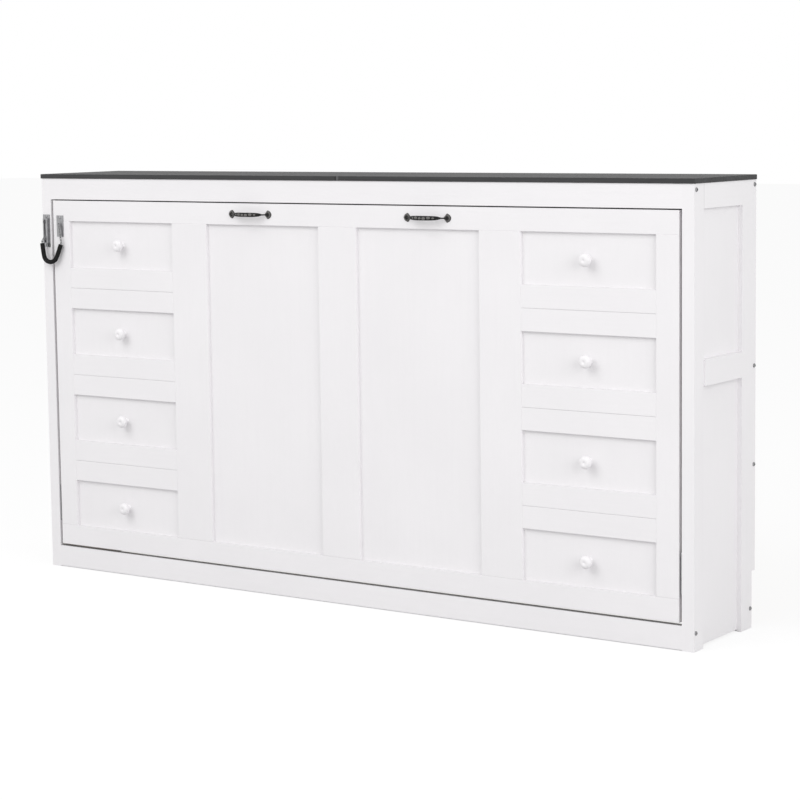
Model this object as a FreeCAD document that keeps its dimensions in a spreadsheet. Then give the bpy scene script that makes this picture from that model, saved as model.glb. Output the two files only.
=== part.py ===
"""Horizontal wall bed, closed.

A low cabinet whose whole front tips down about a low pivot and becomes a bed. The front carries false
drawers and doors. Origin: on the floor, in the middle of the width, in the plane of the cabinet's front.
X runs to the right as seen from the front, Y to the wall, Z up. All sizes are in millimetres.
"""
import FreeCAD
import Part
import Sketcher
import math
import os

V = FreeCAD.Vector
DRAWERS = 4
SLATS = 14
PETALS = 8
# Where the swelling of a pull's bow has thinned out to the neck, as a share of half its span
PULL_NECK = 0.74
PULL_SECTIONS = 16
# How far the hollow sweep of a knob's foot leans to the neck, as a share of the foot
KNOB_SWEEP = 0.7
# How much of the shorter run beside a corner of the sleeve its bend takes up
BEND_SHARE = 0.45

# Each driving size: name, value
SIZES = [
    ("width", 2040),
    ("depth", 325),
    ("body_height", 1101),
    ("top_thick", 12),
    ("top_overhang", 2),
    ("top_seam", 0.6),
    ("post_width", 32),
    ("front_post_depth", 48),
    ("rear_post_depth", 75),
    ("post_ease", 1.2),
    ("skirting_depth", 17),
    ("skirting_height", 142),
    ("side_panel_thick", 9),
    ("side_panel_recess", 12),
    ("side_panel_groove", 6),
    ("side_panel_lift", 5),
    ("side_rail_height", 59),
    ("mid_rail_height", 62),
    ("mid_rail_low", 627),
    ("mid_rail_proud", 4),
    ("rail_height", 58),
    ("base_height", 61),
    ("base_groove_height", 2.5),
    ("base_groove_depth", 4),
    ("rail_thick", 18),
    ("back_rail_height", 60),
    ("upper_rail_middle", 649),
    ("lower_rail_middle", 406),
    ("bottom_rail_middle", 50),
    ("wall_hole_dia", 7),
    ("wall_hole_pitch", 812.8),
    ("brace_width", 60),
    ("brace_thick", 18),
    ("brace_pitch", 500),
    ("stop_depth", 20),
    ("stop_height", 50),
    ("stop_lap", 8),
    ("bolt_dia", 6),
    ("bolt_play", 0.2),
    ("bolt_length", 66),
    ("bolt_head_dia", 10.5),
    ("bolt_head_height", 3.3),
    ("bolt_crown_dia", 6.2),
    ("bolt_shoulder_dia", 9.8),
    ("bolt_shoulder_height", 2),
    ("bolt_socket", 4),
    ("bolt_socket_depth", 2.5),
    ("header_bolt_drop", 14),
    ("back_bolt_drop", 12),
    ("base_bolt_height", 45),
    ("nut_dia", 10),
    ("nut_length", 12),
    ("nut_inset", 26),
    ("door_gap_side", 8),
    ("door_gap_top", 3.5),
    ("door_gap_foot", 6),
    ("strip_thick", 9),
    ("strip_height", 57),
    ("strip_ease", 0.8),
    ("drawer_seam", 0.25),
    ("stile_width", 60),
    ("front_panel_thick", 9),
    ("knob_dia", 32),
    ("knob_reach", 26),
    ("knob_head", 15),
    ("knob_neck_dia", 12),
    ("knob_foot_dia", 18),
    ("knob_foot_thick", 2.4),
    ("pull_offset", 280),
    ("pull_span", 121),
    ("pull_reach", 28),
    ("pull_neck_dia", 5),
    ("pull_swell", 11.5),
    ("pull_swell_depth", 9),
    ("rosette_dia", 22),
    ("rosette_thick", 5),
    ("petal_dia", 8),
    ("frame_inset_end", 18),
    ("frame_inset_side", 12),
    ("bed_rail_depth", 60),
    ("bed_rail_thick", 20),
    ("slat_width", 70),
    ("slat_thick", 15),
    ("pivot_back", 34),
    ("pivot_rise", 117),
    ("pin_dia", 16),
    ("pin_play", 0.05),
    ("bush_wall", 3),
    ("bush_flange", 4),
    ("bush_flange_thick", 2),
    ("fit_gap", 0.3),
    ("pivot_plate_thick", 4),
    ("pivot_plate_width", 44),
    ("pivot_plate_height", 110),
    ("pivot_plate_corner", 10),
    ("pivot_screw_dia", 5.5),
    ("pivot_screw_pitch", 84),
    ("strut_inset", 13),
    ("strut_tail_back", 20),
    ("strut_tail_drop", 67),
    ("strut_anchor_inset", 15),
    ("strut_anchor_height", 430),
    ("strut_tube_dia", 15),
    ("strut_tube_wall", 1.2),
    ("strut_tube_length", 205),
    ("strut_tube_start", 18),
    ("strut_rod_dia", 6),
    ("strut_eye_dia", 14),
    ("strut_eye_width", 9),
    ("strut_pin_dia", 8),
    ("strut_head_thick", 1.5),
    ("strut_head_lap", 1.5),
    ("strut_cap_thick", 2),
    ("strut_plate_dia", 26),
    ("strut_plate_thick", 3),
    ("leg_axle_back", 66),
    ("leg_axle_drop", 120.5),
    ("leg_width", 30),
    ("leg_thick", 4),
    ("leg_axle_dia", 8),
    ("leg_axle_shoulder", 12),
    ("leg_axle_flange", 22),
    ("leg_axle_head_thick", 0.8),
    ("leg_axle_head_lap", 3),
    ("leg_foot_height", 24),
    ("leg_foot_wall", 1),
    ("leg_floor_gap", 0.3),
    ("track_width", 25),
    ("track_height", 91),
    ("track_flange", 1.6),
    ("track_drop", 101),
    ("track_inset", 2.5),
    ("track_screw_dia", 4.5),
    ("track_screw_inset", 5.5),
    ("housing_width", 16),
    ("housing_inset", 11),
    ("housing_depth", 9),
    ("housing_ease", 1),
    ("housing_wall", 3),
    ("track_lip", 1.6),
    ("track_slot", 5),
    ("track_channel", 12),
    ("track_channel_depth", 3.6),
    ("anchor_width", 24),
    ("anchor_height", 59),
    ("anchor_drop", 41.5),
    ("anchor_inset", 14),
    ("anchor_thick", 2),
    ("anchor_screw_pitch", 46),
    ("staple_radius", 5),
    ("staple_wire", 2.2),
    ("staple_rise", 35),
    ("link_wire", 2),
    ("link_length", 8),
    ("link_bore", 2.8),
    ("slider_rise", 25.2),
    ("slider_head_dia", 9.5),
    ("slider_head_thick", 2),
    ("slider_neck_dia", 4),
    ("slider_eye_radius", 3.4),
    ("slider_eye_back", 14.2),
    ("sleeve_dia", 10.5),
    ("sleeve_wall", 1.6),
    ("sleeve_lap", 4.5),
]

# The sleeve's route from the slider, down and round, and up to the anchor plate
SLEEVE_ROUTE = [
    (-1009.0, -16.5, 920.3),
    (-1005.0, -16.0, 885.2),
    (-1000.4, -15.4, 875.3),
    (-992.3, -14.6, 869.4),
    (-981.5, -13.7, 867.5),
    (-970.0, -12.8, 870.8),
    (-960.3, -11.8, 879.5),
    (-946.55, -8.65, 916.8),
]

# Places that several pieces share, written in terms of the sizes
HALF = "(Sizes.width / 2)"
POST_IN = "(Sizes.width / 2 - Sizes.post_width)"
PANEL_OUT = "(Sizes.width / 2 - Sizes.side_panel_recess)"
PANEL_IN = "(Sizes.width / 2 - Sizes.side_panel_recess - Sizes.side_panel_thick)"
REAR_POST = "(Sizes.depth - Sizes.rear_post_depth)"
BACK_RAIL = "(Sizes.depth - Sizes.rail_thick)"
FOOT_RAIL = "(Sizes.depth - Sizes.skirting_depth - Sizes.rail_thick)"
DOOR_HALF = "(Sizes.width / 2 - Sizes.post_width - Sizes.door_gap_side)"
DOOR_LOW = "(Sizes.base_height + Sizes.door_gap_foot)"
DOOR_HIGH = "(Sizes.body_height - Sizes.rail_height - Sizes.door_gap_top)"
DOOR_BACK = "(Sizes.strip_thick + Sizes.front_panel_thick)"
FRAME_HALF = f"({DOOR_HALF} - Sizes.frame_inset_end)"
FRAME_LOW = f"({DOOR_LOW} + Sizes.frame_inset_side)"
FRAME_HIGH = f"({DOOR_HIGH} - Sizes.frame_inset_side)"
FRAME_BACK = f"({DOOR_BACK} + Sizes.bed_rail_depth)"
COLUMN = f"(({DOOR_HALF} * 2 - Sizes.stile_width * 8) / 4)"
PIVOT_Y = "Sizes.pivot_back"
PIVOT_Z = f"({DOOR_LOW} + Sizes.pivot_rise)"
STRUT_X = f"({FRAME_HALF} + Sizes.strut_inset)"
LEG_X = f"({DOOR_HALF} + (Sizes.door_gap_side - Sizes.leg_thick) / 2)"
LEG_Y = "Sizes.leg_axle_back"
LEG_Z = f"({DOOR_HIGH} - Sizes.leg_axle_drop)"
LEG_REACH = f"({PIVOT_Z} + {LEG_Y} - {PIVOT_Y} - Sizes.leg_floor_gap)"
TRACK_X = "(Sizes.track_inset + Sizes.track_width / 2 - Sizes.width / 2)"
TRACK_LOW = "(Sizes.body_height - Sizes.track_drop - Sizes.track_height)"
SLIDER_Z = f"({TRACK_LOW} + Sizes.slider_rise)"
ANCHOR_X = f"(Sizes.anchor_inset + Sizes.anchor_width / 2 - {DOOR_HALF})"
ANCHOR_LOW = f"({DOOR_HIGH} - Sizes.anchor_drop - Sizes.anchor_height)"
STAPLE_Z = f"({ANCHOR_LOW} + Sizes.staple_rise)"

doc = FreeCAD.newDocument("wall_bed")
sheet = doc.addObject("Spreadsheet::Sheet", "Sizes")
for row, (alias, value) in enumerate(SIZES, 1):
    sheet.set(f"A{row}", alias)
    sheet.set(f"B{row}", str(value))
    sheet.setAlias(f"B{row}", alias)
doc.recompute()

nodes = []


def mm(expression):
    """Give the number that an expression of the sizes comes to."""
    return float(sheet.evalExpression(expression))


def size(alias):
    """Give one driving size."""
    return mm(f"Sizes.{alias}")


def node(label, thing):
    """Name an object as a sub-part of the wall bed."""
    thing.Label = label
    nodes.append(thing)
    return thing


def bind(thing, **expressions):
    """Tie properties of an object to expressions of the sizes."""
    for prop, expression in expressions.items():
        thing.setExpression(prop.replace("__", "."), expression)


def place(thing, point):
    """Tie an object's place to three expressions."""
    for axis, expression in zip("xyz", point):
        thing.setExpression(f"Placement.Base.{axis}", expression)


def block(name, low, high):
    """Make a plain board between two corners."""
    board = doc.addObject("Part::Box", name)
    spans = [f"({far}) - ({near})" for near, far in zip(low, high)]
    bind(board, Length=spans[0], Width=spans[1], Height=spans[2])
    place(board, low)
    return board


def eased(name, board, ease, chosen):
    """Chamfer the edges of a board whose two ends satisfy a test."""
    doc.recompute()
    worn = doc.addObject("Part::Chamfer", name)
    worn.Base = board
    edges = enumerate(board.Shape.Edges, 1)
    worn.Edges = [(i, ease, ease) for i, edge in edges if chosen(edge)]
    return worn


def front_edge(edge):
    """Tell whether an edge lies on the front of its board, by comparing it with the strip's plane."""
    return all(abs(corner.Point.y) < 1e-6 for corner in edge.Vertexes)


def round_tool(name, start, axis, diameter, length):
    """Make a straight round bar that starts at a point and runs along +X, +Y or +Z."""
    bar = doc.addObject("Part::Cylinder", name)
    bind(bar, Radius=f"({diameter}) / 2", Height=length)
    turns = {
        "x": FreeCAD.Rotation(V(0, 1, 0), 90),
        "y": FreeCAD.Rotation(V(1, 0, 0), -90),
        "z": FreeCAD.Rotation(),
    }
    bar.Placement.Rotation = turns[axis]
    place(bar, start)
    return bar


def joined(name, kind, parts):
    """Join several objects into a fuse or a compound."""
    whole = doc.addObject(kind, name)
    if kind == "Part::Compound":
        whole.Links = parts
    else:
        whole.Shapes = parts
    return whole


def cut(name, base, tools):
    """Cut several tools out of a base."""
    piece = doc.addObject("Part::Cut", name)
    piece.Base = base
    piece.Tool = tools[0] if len(tools) == 1 else joined(f"{name}_tools", "Part::MultiFuse", tools)
    return piece


def mirrored(name, source):
    """Make the left-hand piece of a right-hand one."""
    twin = doc.addObject("Part::Mirroring", name)
    twin.Source = source
    twin.Base = V(0, 0, 0)
    twin.Normal = V(1, 0, 0)
    return twin


def pair(stem, right):
    """Name a right-hand piece and its mirrored left-hand one."""
    node(f"{stem}_right", right)
    node(f"{stem}_left", mirrored(f"{stem}_left", right))


def group(label, shapes):
    """Name a set of like pieces as one sub-part."""
    several = doc.addObject("Part::Feature", label)
    several.Shape = Part.makeCompound(shapes)
    return node(label, several)


def origin_feature(body, role):
    """Find one of a body's own origin planes or axes."""
    return next(f for f in body.Origin.OriginFeatures if f.Role == role)


def sketch(body, name, role, offset=None):
    """Start a sketch on one of a body's origin planes."""
    outline = body.newObject("Sketcher::SketchObject", name)
    outline.AttachmentSupport = (origin_feature(body, role), [""])
    outline.MapMode = "FlatFace"
    if offset:
        outline.setExpression("AttachmentOffset.Base.z", offset)
    return outline


def pin_point(outline, geometry, end, point):
    """Tie one point of a sketch to two expressions, measured from the sketch's origin."""
    for kind, expression in zip(("DistanceX", "DistanceY"), point):
        rule = Sketcher.Constraint(kind, -1, 1, geometry, end, mm(expression))
        index = outline.addConstraint(rule)
        outline.setExpression(f"Constraints[{index}]", expression)


def polygon(outline, points):
    """Draw a closed outline of straight lines."""
    spots = [V(mm(across), mm(up), 0) for across, up in points]
    count = len(spots)
    lines = [
        outline.addGeometry(Part.LineSegment(spots[i], spots[(i + 1) % count]), False)
        for i in range(count)
    ]
    for i, line in enumerate(lines):
        following = lines[(i + 1) % count]
        outline.addConstraint(Sketcher.Constraint("Coincident", line, 2, following, 1))
        pin_point(outline, line, 1, points[i])


def arc(start, through, end):
    """An arc over three points of a sketch, drawn anticlockwise as sketches want it."""
    if (through - start).cross(end - through).z < 0:
        start, end = end, start
    return Part.Arc(start, through, end)


def close_loop(outline, curves, points):
    """Draw lines and arcs end to end, with each curve's start tied to its point."""
    spots = [V(mm(across), mm(up), 0) for across, up in points]
    drawn = [outline.addGeometry(curve, False) for curve in curves]
    starts = []
    for curve, spot in zip(drawn, spots):
        starts.append(1 if outline.getPoint(curve, 1).distanceToPoint(spot) < 1e-6 else 2)
    count = len(drawn)
    for i, curve in enumerate(drawn):
        following = (i + 1) % count
        rule = Sketcher.Constraint("Coincident", curve, 3 - starts[i], drawn[following], starts[following])
        outline.addConstraint(rule)
        pin_point(outline, curve, starts[i], points[i])
        if curves[i].TypeId == "Part::GeomArcOfCircle":
            outline.addConstraint(Sketcher.Constraint("Radius", curve, curves[i].Radius))


def ring(outline, centre, diameter):
    """Draw a circle."""
    spot = V(mm(centre[0]), mm(centre[1]), 0)
    circle = outline.addGeometry(Part.Circle(spot, V(0, 0, 1), mm(diameter) / 2), False)
    pin_point(outline, circle, 3, centre)
    rule = Sketcher.Constraint("Diameter", circle, mm(diameter))
    index = outline.addConstraint(rule)
    outline.setExpression(f"Constraints[{index}]", diameter)


def pad(body, outline, length):
    """Raise a sketch into a solid along its normal."""
    raised = body.newObject("PartDesign::Pad", f"{outline.Name}_pad")
    raised.Profile = outline
    raised.setExpression("Length", length)
    return raised


def turned(name, axis_role, plane_role, profile, point=None):
    """Turn a closed profile of straight lines about one of a body's axes."""
    body = doc.addObject("PartDesign::Body", name)
    outline = sketch(body, f"{name}_profile", plane_role)
    polygon(outline, profile)
    lathe = body.newObject("PartDesign::Revolution", f"{name}_turn")
    lathe.Profile = outline
    lathe.ReferenceAxis = (origin_feature(body, axis_role), [""])
    lathe.Angle = 360
    if point:
        place(body, point)
    return body


def copies(source, points):
    """Give copies of a finished shape at several points."""
    doc.recompute()
    placed = []
    for point in points:
        shape = source.Shape.copy()
        shape.translate(V(*point))
        placed.append(shape)
    return placed


def top_panels():
    """Two halves of the top, with a seam in the middle of the width."""
    low = ("Sizes.top_seam / 2", "-Sizes.top_overhang", "Sizes.body_height")
    high = (f"{HALF} + Sizes.top_overhang", "Sizes.depth", "Sizes.body_height + Sizes.top_thick")
    board = block("top_panel_board", low, high)
    upper = mm(high[2])
    worn = eased(
        "top_panel_right",
        board,
        size("post_ease"),
        lambda edge: all(abs(corner.Point.z - upper) < 1e-6 for corner in edge.Vertexes),
    )
    pair("top_panel", worn)


def bolt_rows():
    """The depth and height of every bolt on one side: front posts first, then rear posts."""
    front = "(Sizes.rail_thick / 2)"
    back = "(Sizes.depth - Sizes.rail_thick / 2)"
    foot = f"({FOOT_RAIL} + Sizes.rail_thick / 2)"
    front_rows = [
        (front, "(Sizes.body_height - Sizes.header_bolt_drop)"),
        (front, "Sizes.base_bolt_height"),
    ]
    rear_rows = [
        (back, "(Sizes.body_height - Sizes.back_bolt_drop)"),
        (back, "Sizes.upper_rail_middle"),
        (back, "Sizes.lower_rail_middle"),
        (foot, "Sizes.bottom_rail_middle"),
    ]
    return front_rows, rear_rows


BOLT_BORE = "(Sizes.bolt_dia + Sizes.bolt_play * 2)"


def post(name, outline_points, rows, notch=None):
    """A post of one section, grooved for the side panel and bored for its bolts."""
    body = doc.addObject("PartDesign::Body", f"{name}_blank")
    outline = sketch(body, f"{name}_section", "XY_Plane")
    polygon(outline, outline_points)
    pad(body, outline, "Sizes.body_height")
    tools = [
        round_tool(f"{name}_bore_{i}", (POST_IN, back, up), "x", BOLT_BORE, "Sizes.post_width")
        for i, (back, up) in enumerate(rows, 1)
    ]
    if notch:
        tools.append(notch)
    return cut(f"{name}_right", body, tools)


def posts():
    """Front and rear posts. The rear ones clear a skirting board at the foot."""
    front_rows, rear_rows = bolt_rows()
    groove_front = "(Sizes.front_post_depth - Sizes.side_panel_groove)"
    front = [
        (POST_IN, "0"),
        (HALF, "0"),
        (HALF, "Sizes.front_post_depth"),
        (PANEL_OUT, "Sizes.front_post_depth"),
        (PANEL_OUT, groove_front),
        (PANEL_IN, groove_front),
        (PANEL_IN, "Sizes.front_post_depth"),
        (POST_IN, "Sizes.front_post_depth"),
    ]
    pair("front_post", post("front_post", front, front_rows))
    groove_back = f"({REAR_POST} + Sizes.side_panel_groove)"
    rear = [
        (POST_IN, "Sizes.depth"),
        (HALF, "Sizes.depth"),
        (HALF, REAR_POST),
        (PANEL_OUT, REAR_POST),
        (PANEL_OUT, groove_back),
        (PANEL_IN, groove_back),
        (PANEL_IN, REAR_POST),
        (POST_IN, REAR_POST),
    ]
    notch = block(
        "skirting_notch",
        (POST_IN, "Sizes.depth - Sizes.skirting_depth", "0"),
        (HALF, "Sizes.depth", "Sizes.skirting_height"),
    )
    pair("rear_post", post("rear_post", rear, rear_rows, notch))


def sides():
    """Recessed side panels, each with a top rail and a proud middle rail."""
    panel = block(
        "side_panel_right",
        (PANEL_IN, "Sizes.front_post_depth - Sizes.side_panel_groove", "Sizes.side_panel_lift"),
        (PANEL_OUT, f"{REAR_POST} + Sizes.side_panel_groove", "Sizes.body_height"),
    )
    pair("side_panel", panel)
    upper = block(
        "side_top_rail_right",
        (PANEL_OUT, "Sizes.front_post_depth", "Sizes.body_height - Sizes.side_rail_height"),
        (HALF, REAR_POST, "Sizes.body_height"),
    )
    pair("side_top_rail", upper)
    middle = block(
        "side_mid_rail_right",
        (PANEL_OUT, "Sizes.front_post_depth", "Sizes.mid_rail_low"),
        (f"{HALF} + Sizes.mid_rail_proud", REAR_POST, "Sizes.mid_rail_low + Sizes.mid_rail_height"),
    )
    pair("side_mid_rail", middle)


def bored_rail(label, low_y, low_z, height, bolt_y, bolt_z, nut_from_front, more_tools=()):
    """A rail between the posts, bored at both ends for a bolt and its barrel nut."""
    board = block(
        f"{label}_board",
        (f"-{POST_IN}", low_y, low_z),
        (POST_IN, f"({low_y}) + Sizes.rail_thick", f"({low_z}) + ({height})"),
    )
    reach = "(Sizes.bolt_length - Sizes.post_width)"
    tools = [
        round_tool(f"{label}_bore_right", (f"{POST_IN} - {reach}", bolt_y, bolt_z), "x", BOLT_BORE, reach),
        round_tool(f"{label}_bore_left", (f"-{POST_IN}", bolt_y, bolt_z), "x", BOLT_BORE, reach),
    ]
    if nut_from_front:
        nut_start = low_y
    else:
        nut_start = f"({low_y}) + Sizes.rail_thick - (Sizes.rail_thick + Sizes.nut_length) / 2"
    depth = "(Sizes.rail_thick + Sizes.nut_length) / 2"
    nut_bore = "(Sizes.nut_dia + Sizes.bolt_play * 2)"
    for side, middle in (("right", f"{POST_IN} - Sizes.nut_inset"), ("left", f"Sizes.nut_inset - {POST_IN}")):
        start = (middle, nut_start, bolt_z)
        tools.append(round_tool(f"{label}_nut_{side}", start, "y", nut_bore, depth))
    tools.extend(more_tools)
    return node(label, cut(label, board, tools))


def wall_holes(label, height):
    """Two screw holes through a back rail, into the wall's studs."""
    return [
        round_tool(
            f"{label}_wall_hole_{side}",
            (f"{sign}Sizes.wall_hole_pitch / 2", BACK_RAIL, height),
            "y",
            "Sizes.wall_hole_dia",
            "Sizes.rail_thick",
        )
        for side, sign in (("right", ""), ("left", "-"))
    ]


def rails():
    """Header and base rail at the front, four rails at the back, braces and a stop rail under the top."""
    front_rows, rear_rows = bolt_rows()
    header_low = "(Sizes.body_height - Sizes.rail_height)"
    bored_rail("header_rail", "0", header_low, "Sizes.rail_height", *front_rows[0], False)
    groove = block(
        "base_rail_groove",
        (f"-{POST_IN}", "0", "0"),
        (POST_IN, "Sizes.base_groove_depth", "Sizes.base_groove_height"),
    )
    bored_rail("base_rail", "0", "0", "Sizes.base_height", *front_rows[1], False, [groove])
    tall = "Sizes.back_rail_height"
    top_low = "(Sizes.body_height - Sizes.back_rail_height)"
    top_holes = wall_holes("back_rail_top", "Sizes.body_height - Sizes.back_rail_height / 2")
    bored_rail("back_rail_top", BACK_RAIL, top_low, tall, *rear_rows[0], True, top_holes)
    upper_low = "(Sizes.upper_rail_middle - Sizes.back_rail_height / 2)"
    bored_rail("back_rail_upper", BACK_RAIL, upper_low, tall, *rear_rows[1], True)
    lower_low = "(Sizes.lower_rail_middle - Sizes.back_rail_height / 2)"
    lower_holes = wall_holes("back_rail_lower", "Sizes.lower_rail_middle")
    bored_rail("back_rail_lower", BACK_RAIL, lower_low, tall, *rear_rows[2], True, lower_holes)
    bottom_low = "(Sizes.bottom_rail_middle - Sizes.back_rail_height / 2)"
    bored_rail("back_rail_bottom", FOOT_RAIL, bottom_low, tall, *rear_rows[3], True)
    brace = block(
        "top_brace",
        ("-Sizes.brace_width / 2", "Sizes.rail_thick", "Sizes.body_height - Sizes.brace_thick"),
        ("Sizes.brace_width / 2", BACK_RAIL, "Sizes.body_height"),
    )
    pitch = size("brace_pitch")
    group("top_braces", copies(brace, [(step * pitch, 0, 0) for step in (-1, 0, 1)]))
    stop_low = f"({DOOR_HIGH} - Sizes.stop_lap)"
    stop = block(
        "stop_board",
        (f"-{POST_IN}", DOOR_BACK, stop_low),
        (POST_IN, f"{DOOR_BACK} + Sizes.stop_depth", f"{stop_low} + Sizes.stop_height"),
    )
    node("stop_rail", stop)


def bolts():
    """Button-head bolts with a hexagon socket, and the barrel nuts that they screw into."""
    bolt = turned(
        "carcass_bolt",
        "X_Axis",
        "XY_Plane",
        [
            ("-Sizes.bolt_length", "0"),
            ("Sizes.bolt_head_height", "0"),
            ("Sizes.bolt_head_height", "Sizes.bolt_crown_dia / 2"),
            ("Sizes.bolt_shoulder_height", "Sizes.bolt_shoulder_dia / 2"),
            ("0", "Sizes.bolt_head_dia / 2"),
            ("0", "Sizes.bolt_dia / 2"),
            ("-Sizes.bolt_length", "Sizes.bolt_dia / 2"),
        ],
    )
    socket = sketch(bolt, "bolt_socket", "YZ_Plane", "Sizes.bolt_head_height")
    corner = "(Sizes.bolt_socket / sqrt(3))"
    hexagon = [(f"{corner} * cos({turn} deg)", f"{corner} * sin({turn} deg)") for turn in range(0, 360, 60)]
    polygon(socket, hexagon)
    doc.recompute()
    solid_volume = bolt.Shape.Volume
    hollow = bolt.newObject("PartDesign::Pocket", "bolt_socket_pocket")
    hollow.Profile = socket
    hollow.setExpression("Length", "Sizes.bolt_socket_depth")
    doc.recompute()
    if bolt.Shape.Volume >= solid_volume:
        raise RuntimeError("the bolt's socket cuts nothing")
    nut = doc.addObject("Part::Cut", "barrel_nut")
    nut_start = ("0", "-Sizes.nut_length / 2", "0")
    nut.Base = round_tool("nut_barrel", nut_start, "y", "Sizes.nut_dia", "Sizes.nut_length")
    nut.Tool = round_tool("nut_thread", ("-Sizes.nut_dia", "0", "0"), "x", BOLT_BORE, "Sizes.nut_dia * 2")
    doc.recompute()
    front_rows, rear_rows = bolt_rows()
    heads = []
    nuts = []
    for back, up in front_rows + rear_rows:
        for side in (1, -1):
            shape = bolt.Shape.copy()
            if side < 0:
                shape.rotate(V(0, 0, 0), V(0, 0, 1), 180)
            shape.translate(V(side * mm(HALF), mm(back), mm(up)))
            heads.append(shape)
            barrel = nut.Shape.copy()
            barrel.translate(V(side * (mm(POST_IN) - size("nut_inset")), mm(back), mm(up)))
            nuts.append(barrel)
    group("carcass_bolts", heads)
    group("barrel_nuts", nuts)


def strip(label, low_x, high_x, low_z, high_z):
    """A flat strip on the front panel, with its front edges eased so that each joint shows as a fine line."""
    board = block(f"{label}_board", (low_x, "0", low_z), (high_x, "Sizes.strip_thick", high_z))
    return eased(label, board, size("strip_ease"), front_edge)


def front():
    """The tipping front: one panel with strips that frame false drawers and doors."""
    panel = block(
        "front_panel",
        (f"-{DOOR_HALF}", "Sizes.strip_thick", DOOR_LOW),
        (DOOR_HALF, DOOR_BACK, DOOR_HIGH),
    )
    node("front_panel", panel)
    strip_low = f"({DOOR_LOW} + Sizes.strip_height)"
    strip_high = f"({DOOR_HIGH} - Sizes.strip_height)"
    node("front_top_rail", strip("front_top_rail", f"-{DOOR_HALF}", DOOR_HALF, strip_high, DOOR_HIGH))
    node("front_bottom_rail", strip("front_bottom_rail", f"-{DOOR_HALF}", DOOR_HALF, DOOR_LOW, strip_low))
    centre = strip("stile_centre", "-Sizes.stile_width", "Sizes.stile_width", strip_low, strip_high)
    node("stile_centre", centre)
    inner = f"(Sizes.stile_width + {COLUMN})"
    drawer_in = f"(Sizes.stile_width * 3 + {COLUMN})"
    pair("stile_inner", strip("stile_inner_right", inner, drawer_in, strip_low, strip_high))
    drawer_out = f"({DOOR_HALF} - Sizes.stile_width)"
    pair("stile_outer", strip("stile_outer_right", drawer_out, DOOR_HALF, strip_low, strip_high))
    row = f"(({DOOR_HIGH} - {DOOR_LOW}) / {DRAWERS})"
    shapes = []
    for step in range(1, DRAWERS):
        seam = f"({DOOR_LOW} + {row} * {step})"
        below = f"{seam} - Sizes.strip_height"
        above = f"{seam} + Sizes.strip_height"
        under = f"{seam} - Sizes.drawer_seam / 2"
        over = f"{seam} + Sizes.drawer_seam / 2"
        lower = strip(f"drawer_rail_{step}_lower", drawer_in, drawer_out, below, under)
        upper = strip(f"drawer_rail_{step}_upper", drawer_in, drawer_out, over, above)
        doc.recompute()
        shapes.extend([lower.Shape.copy(), upper.Shape.copy()])
    group("drawer_rails", shapes + [shape.mirror(V(0, 0, 0), V(1, 0, 0)) for shape in shapes])
    return mm(drawer_in), mm(drawer_out), mm(row)


def knobs(drawer_in, drawer_out, row):
    """Turned round knobs, one in the middle of each false drawer."""
    body = doc.addObject("PartDesign::Body", "drawer_knob")
    outline = sketch(body, "drawer_knob_profile", "XY_Plane")
    foot = "(Sizes.knob_foot_dia / 2)"
    neck = "(Sizes.knob_neck_dia / 2)"
    head = "(Sizes.knob_reach - Sizes.knob_head)"
    points = [
        ("0", "0"),
        (foot, "0"),
        (neck, "-Sizes.knob_foot_thick"),
        (neck, f"-{head}"),
        ("0", "-Sizes.knob_reach"),
    ]
    spots = [V(mm(across), mm(up), 0) for across, up in points]
    sweep_radius = mm(foot) * (1 - KNOB_SWEEP) + mm(neck) * KNOB_SWEEP
    sweep = V(sweep_radius, -size("knob_foot_thick") / 2, 0)
    crown = V(size("knob_dia") / 2, mm(f"-({head} + Sizes.knob_reach) / 2"), 0)
    curves = [
        Part.LineSegment(spots[0], spots[1]),
        arc(spots[1], sweep, spots[2]),
        Part.LineSegment(spots[2], spots[3]),
        arc(spots[3], crown, spots[4]),
        Part.LineSegment(spots[4], spots[0]),
    ]
    close_loop(outline, curves, points)
    lathe = body.newObject("PartDesign::Revolution", "drawer_knob_turn")
    lathe.Profile = outline
    lathe.ReferenceAxis = (origin_feature(body, "Y_Axis"), [""])
    lathe.Angle = 360
    middle = (drawer_in + drawer_out) / 2
    base = size("strip_thick")
    heights = [mm(DOOR_LOW) + row * (step + 0.5) for step in range(DRAWERS)]
    group("drawer_knobs", copies(body, [(side * middle, base, up) for side in (-1, 1) for up in heights]))


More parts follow.
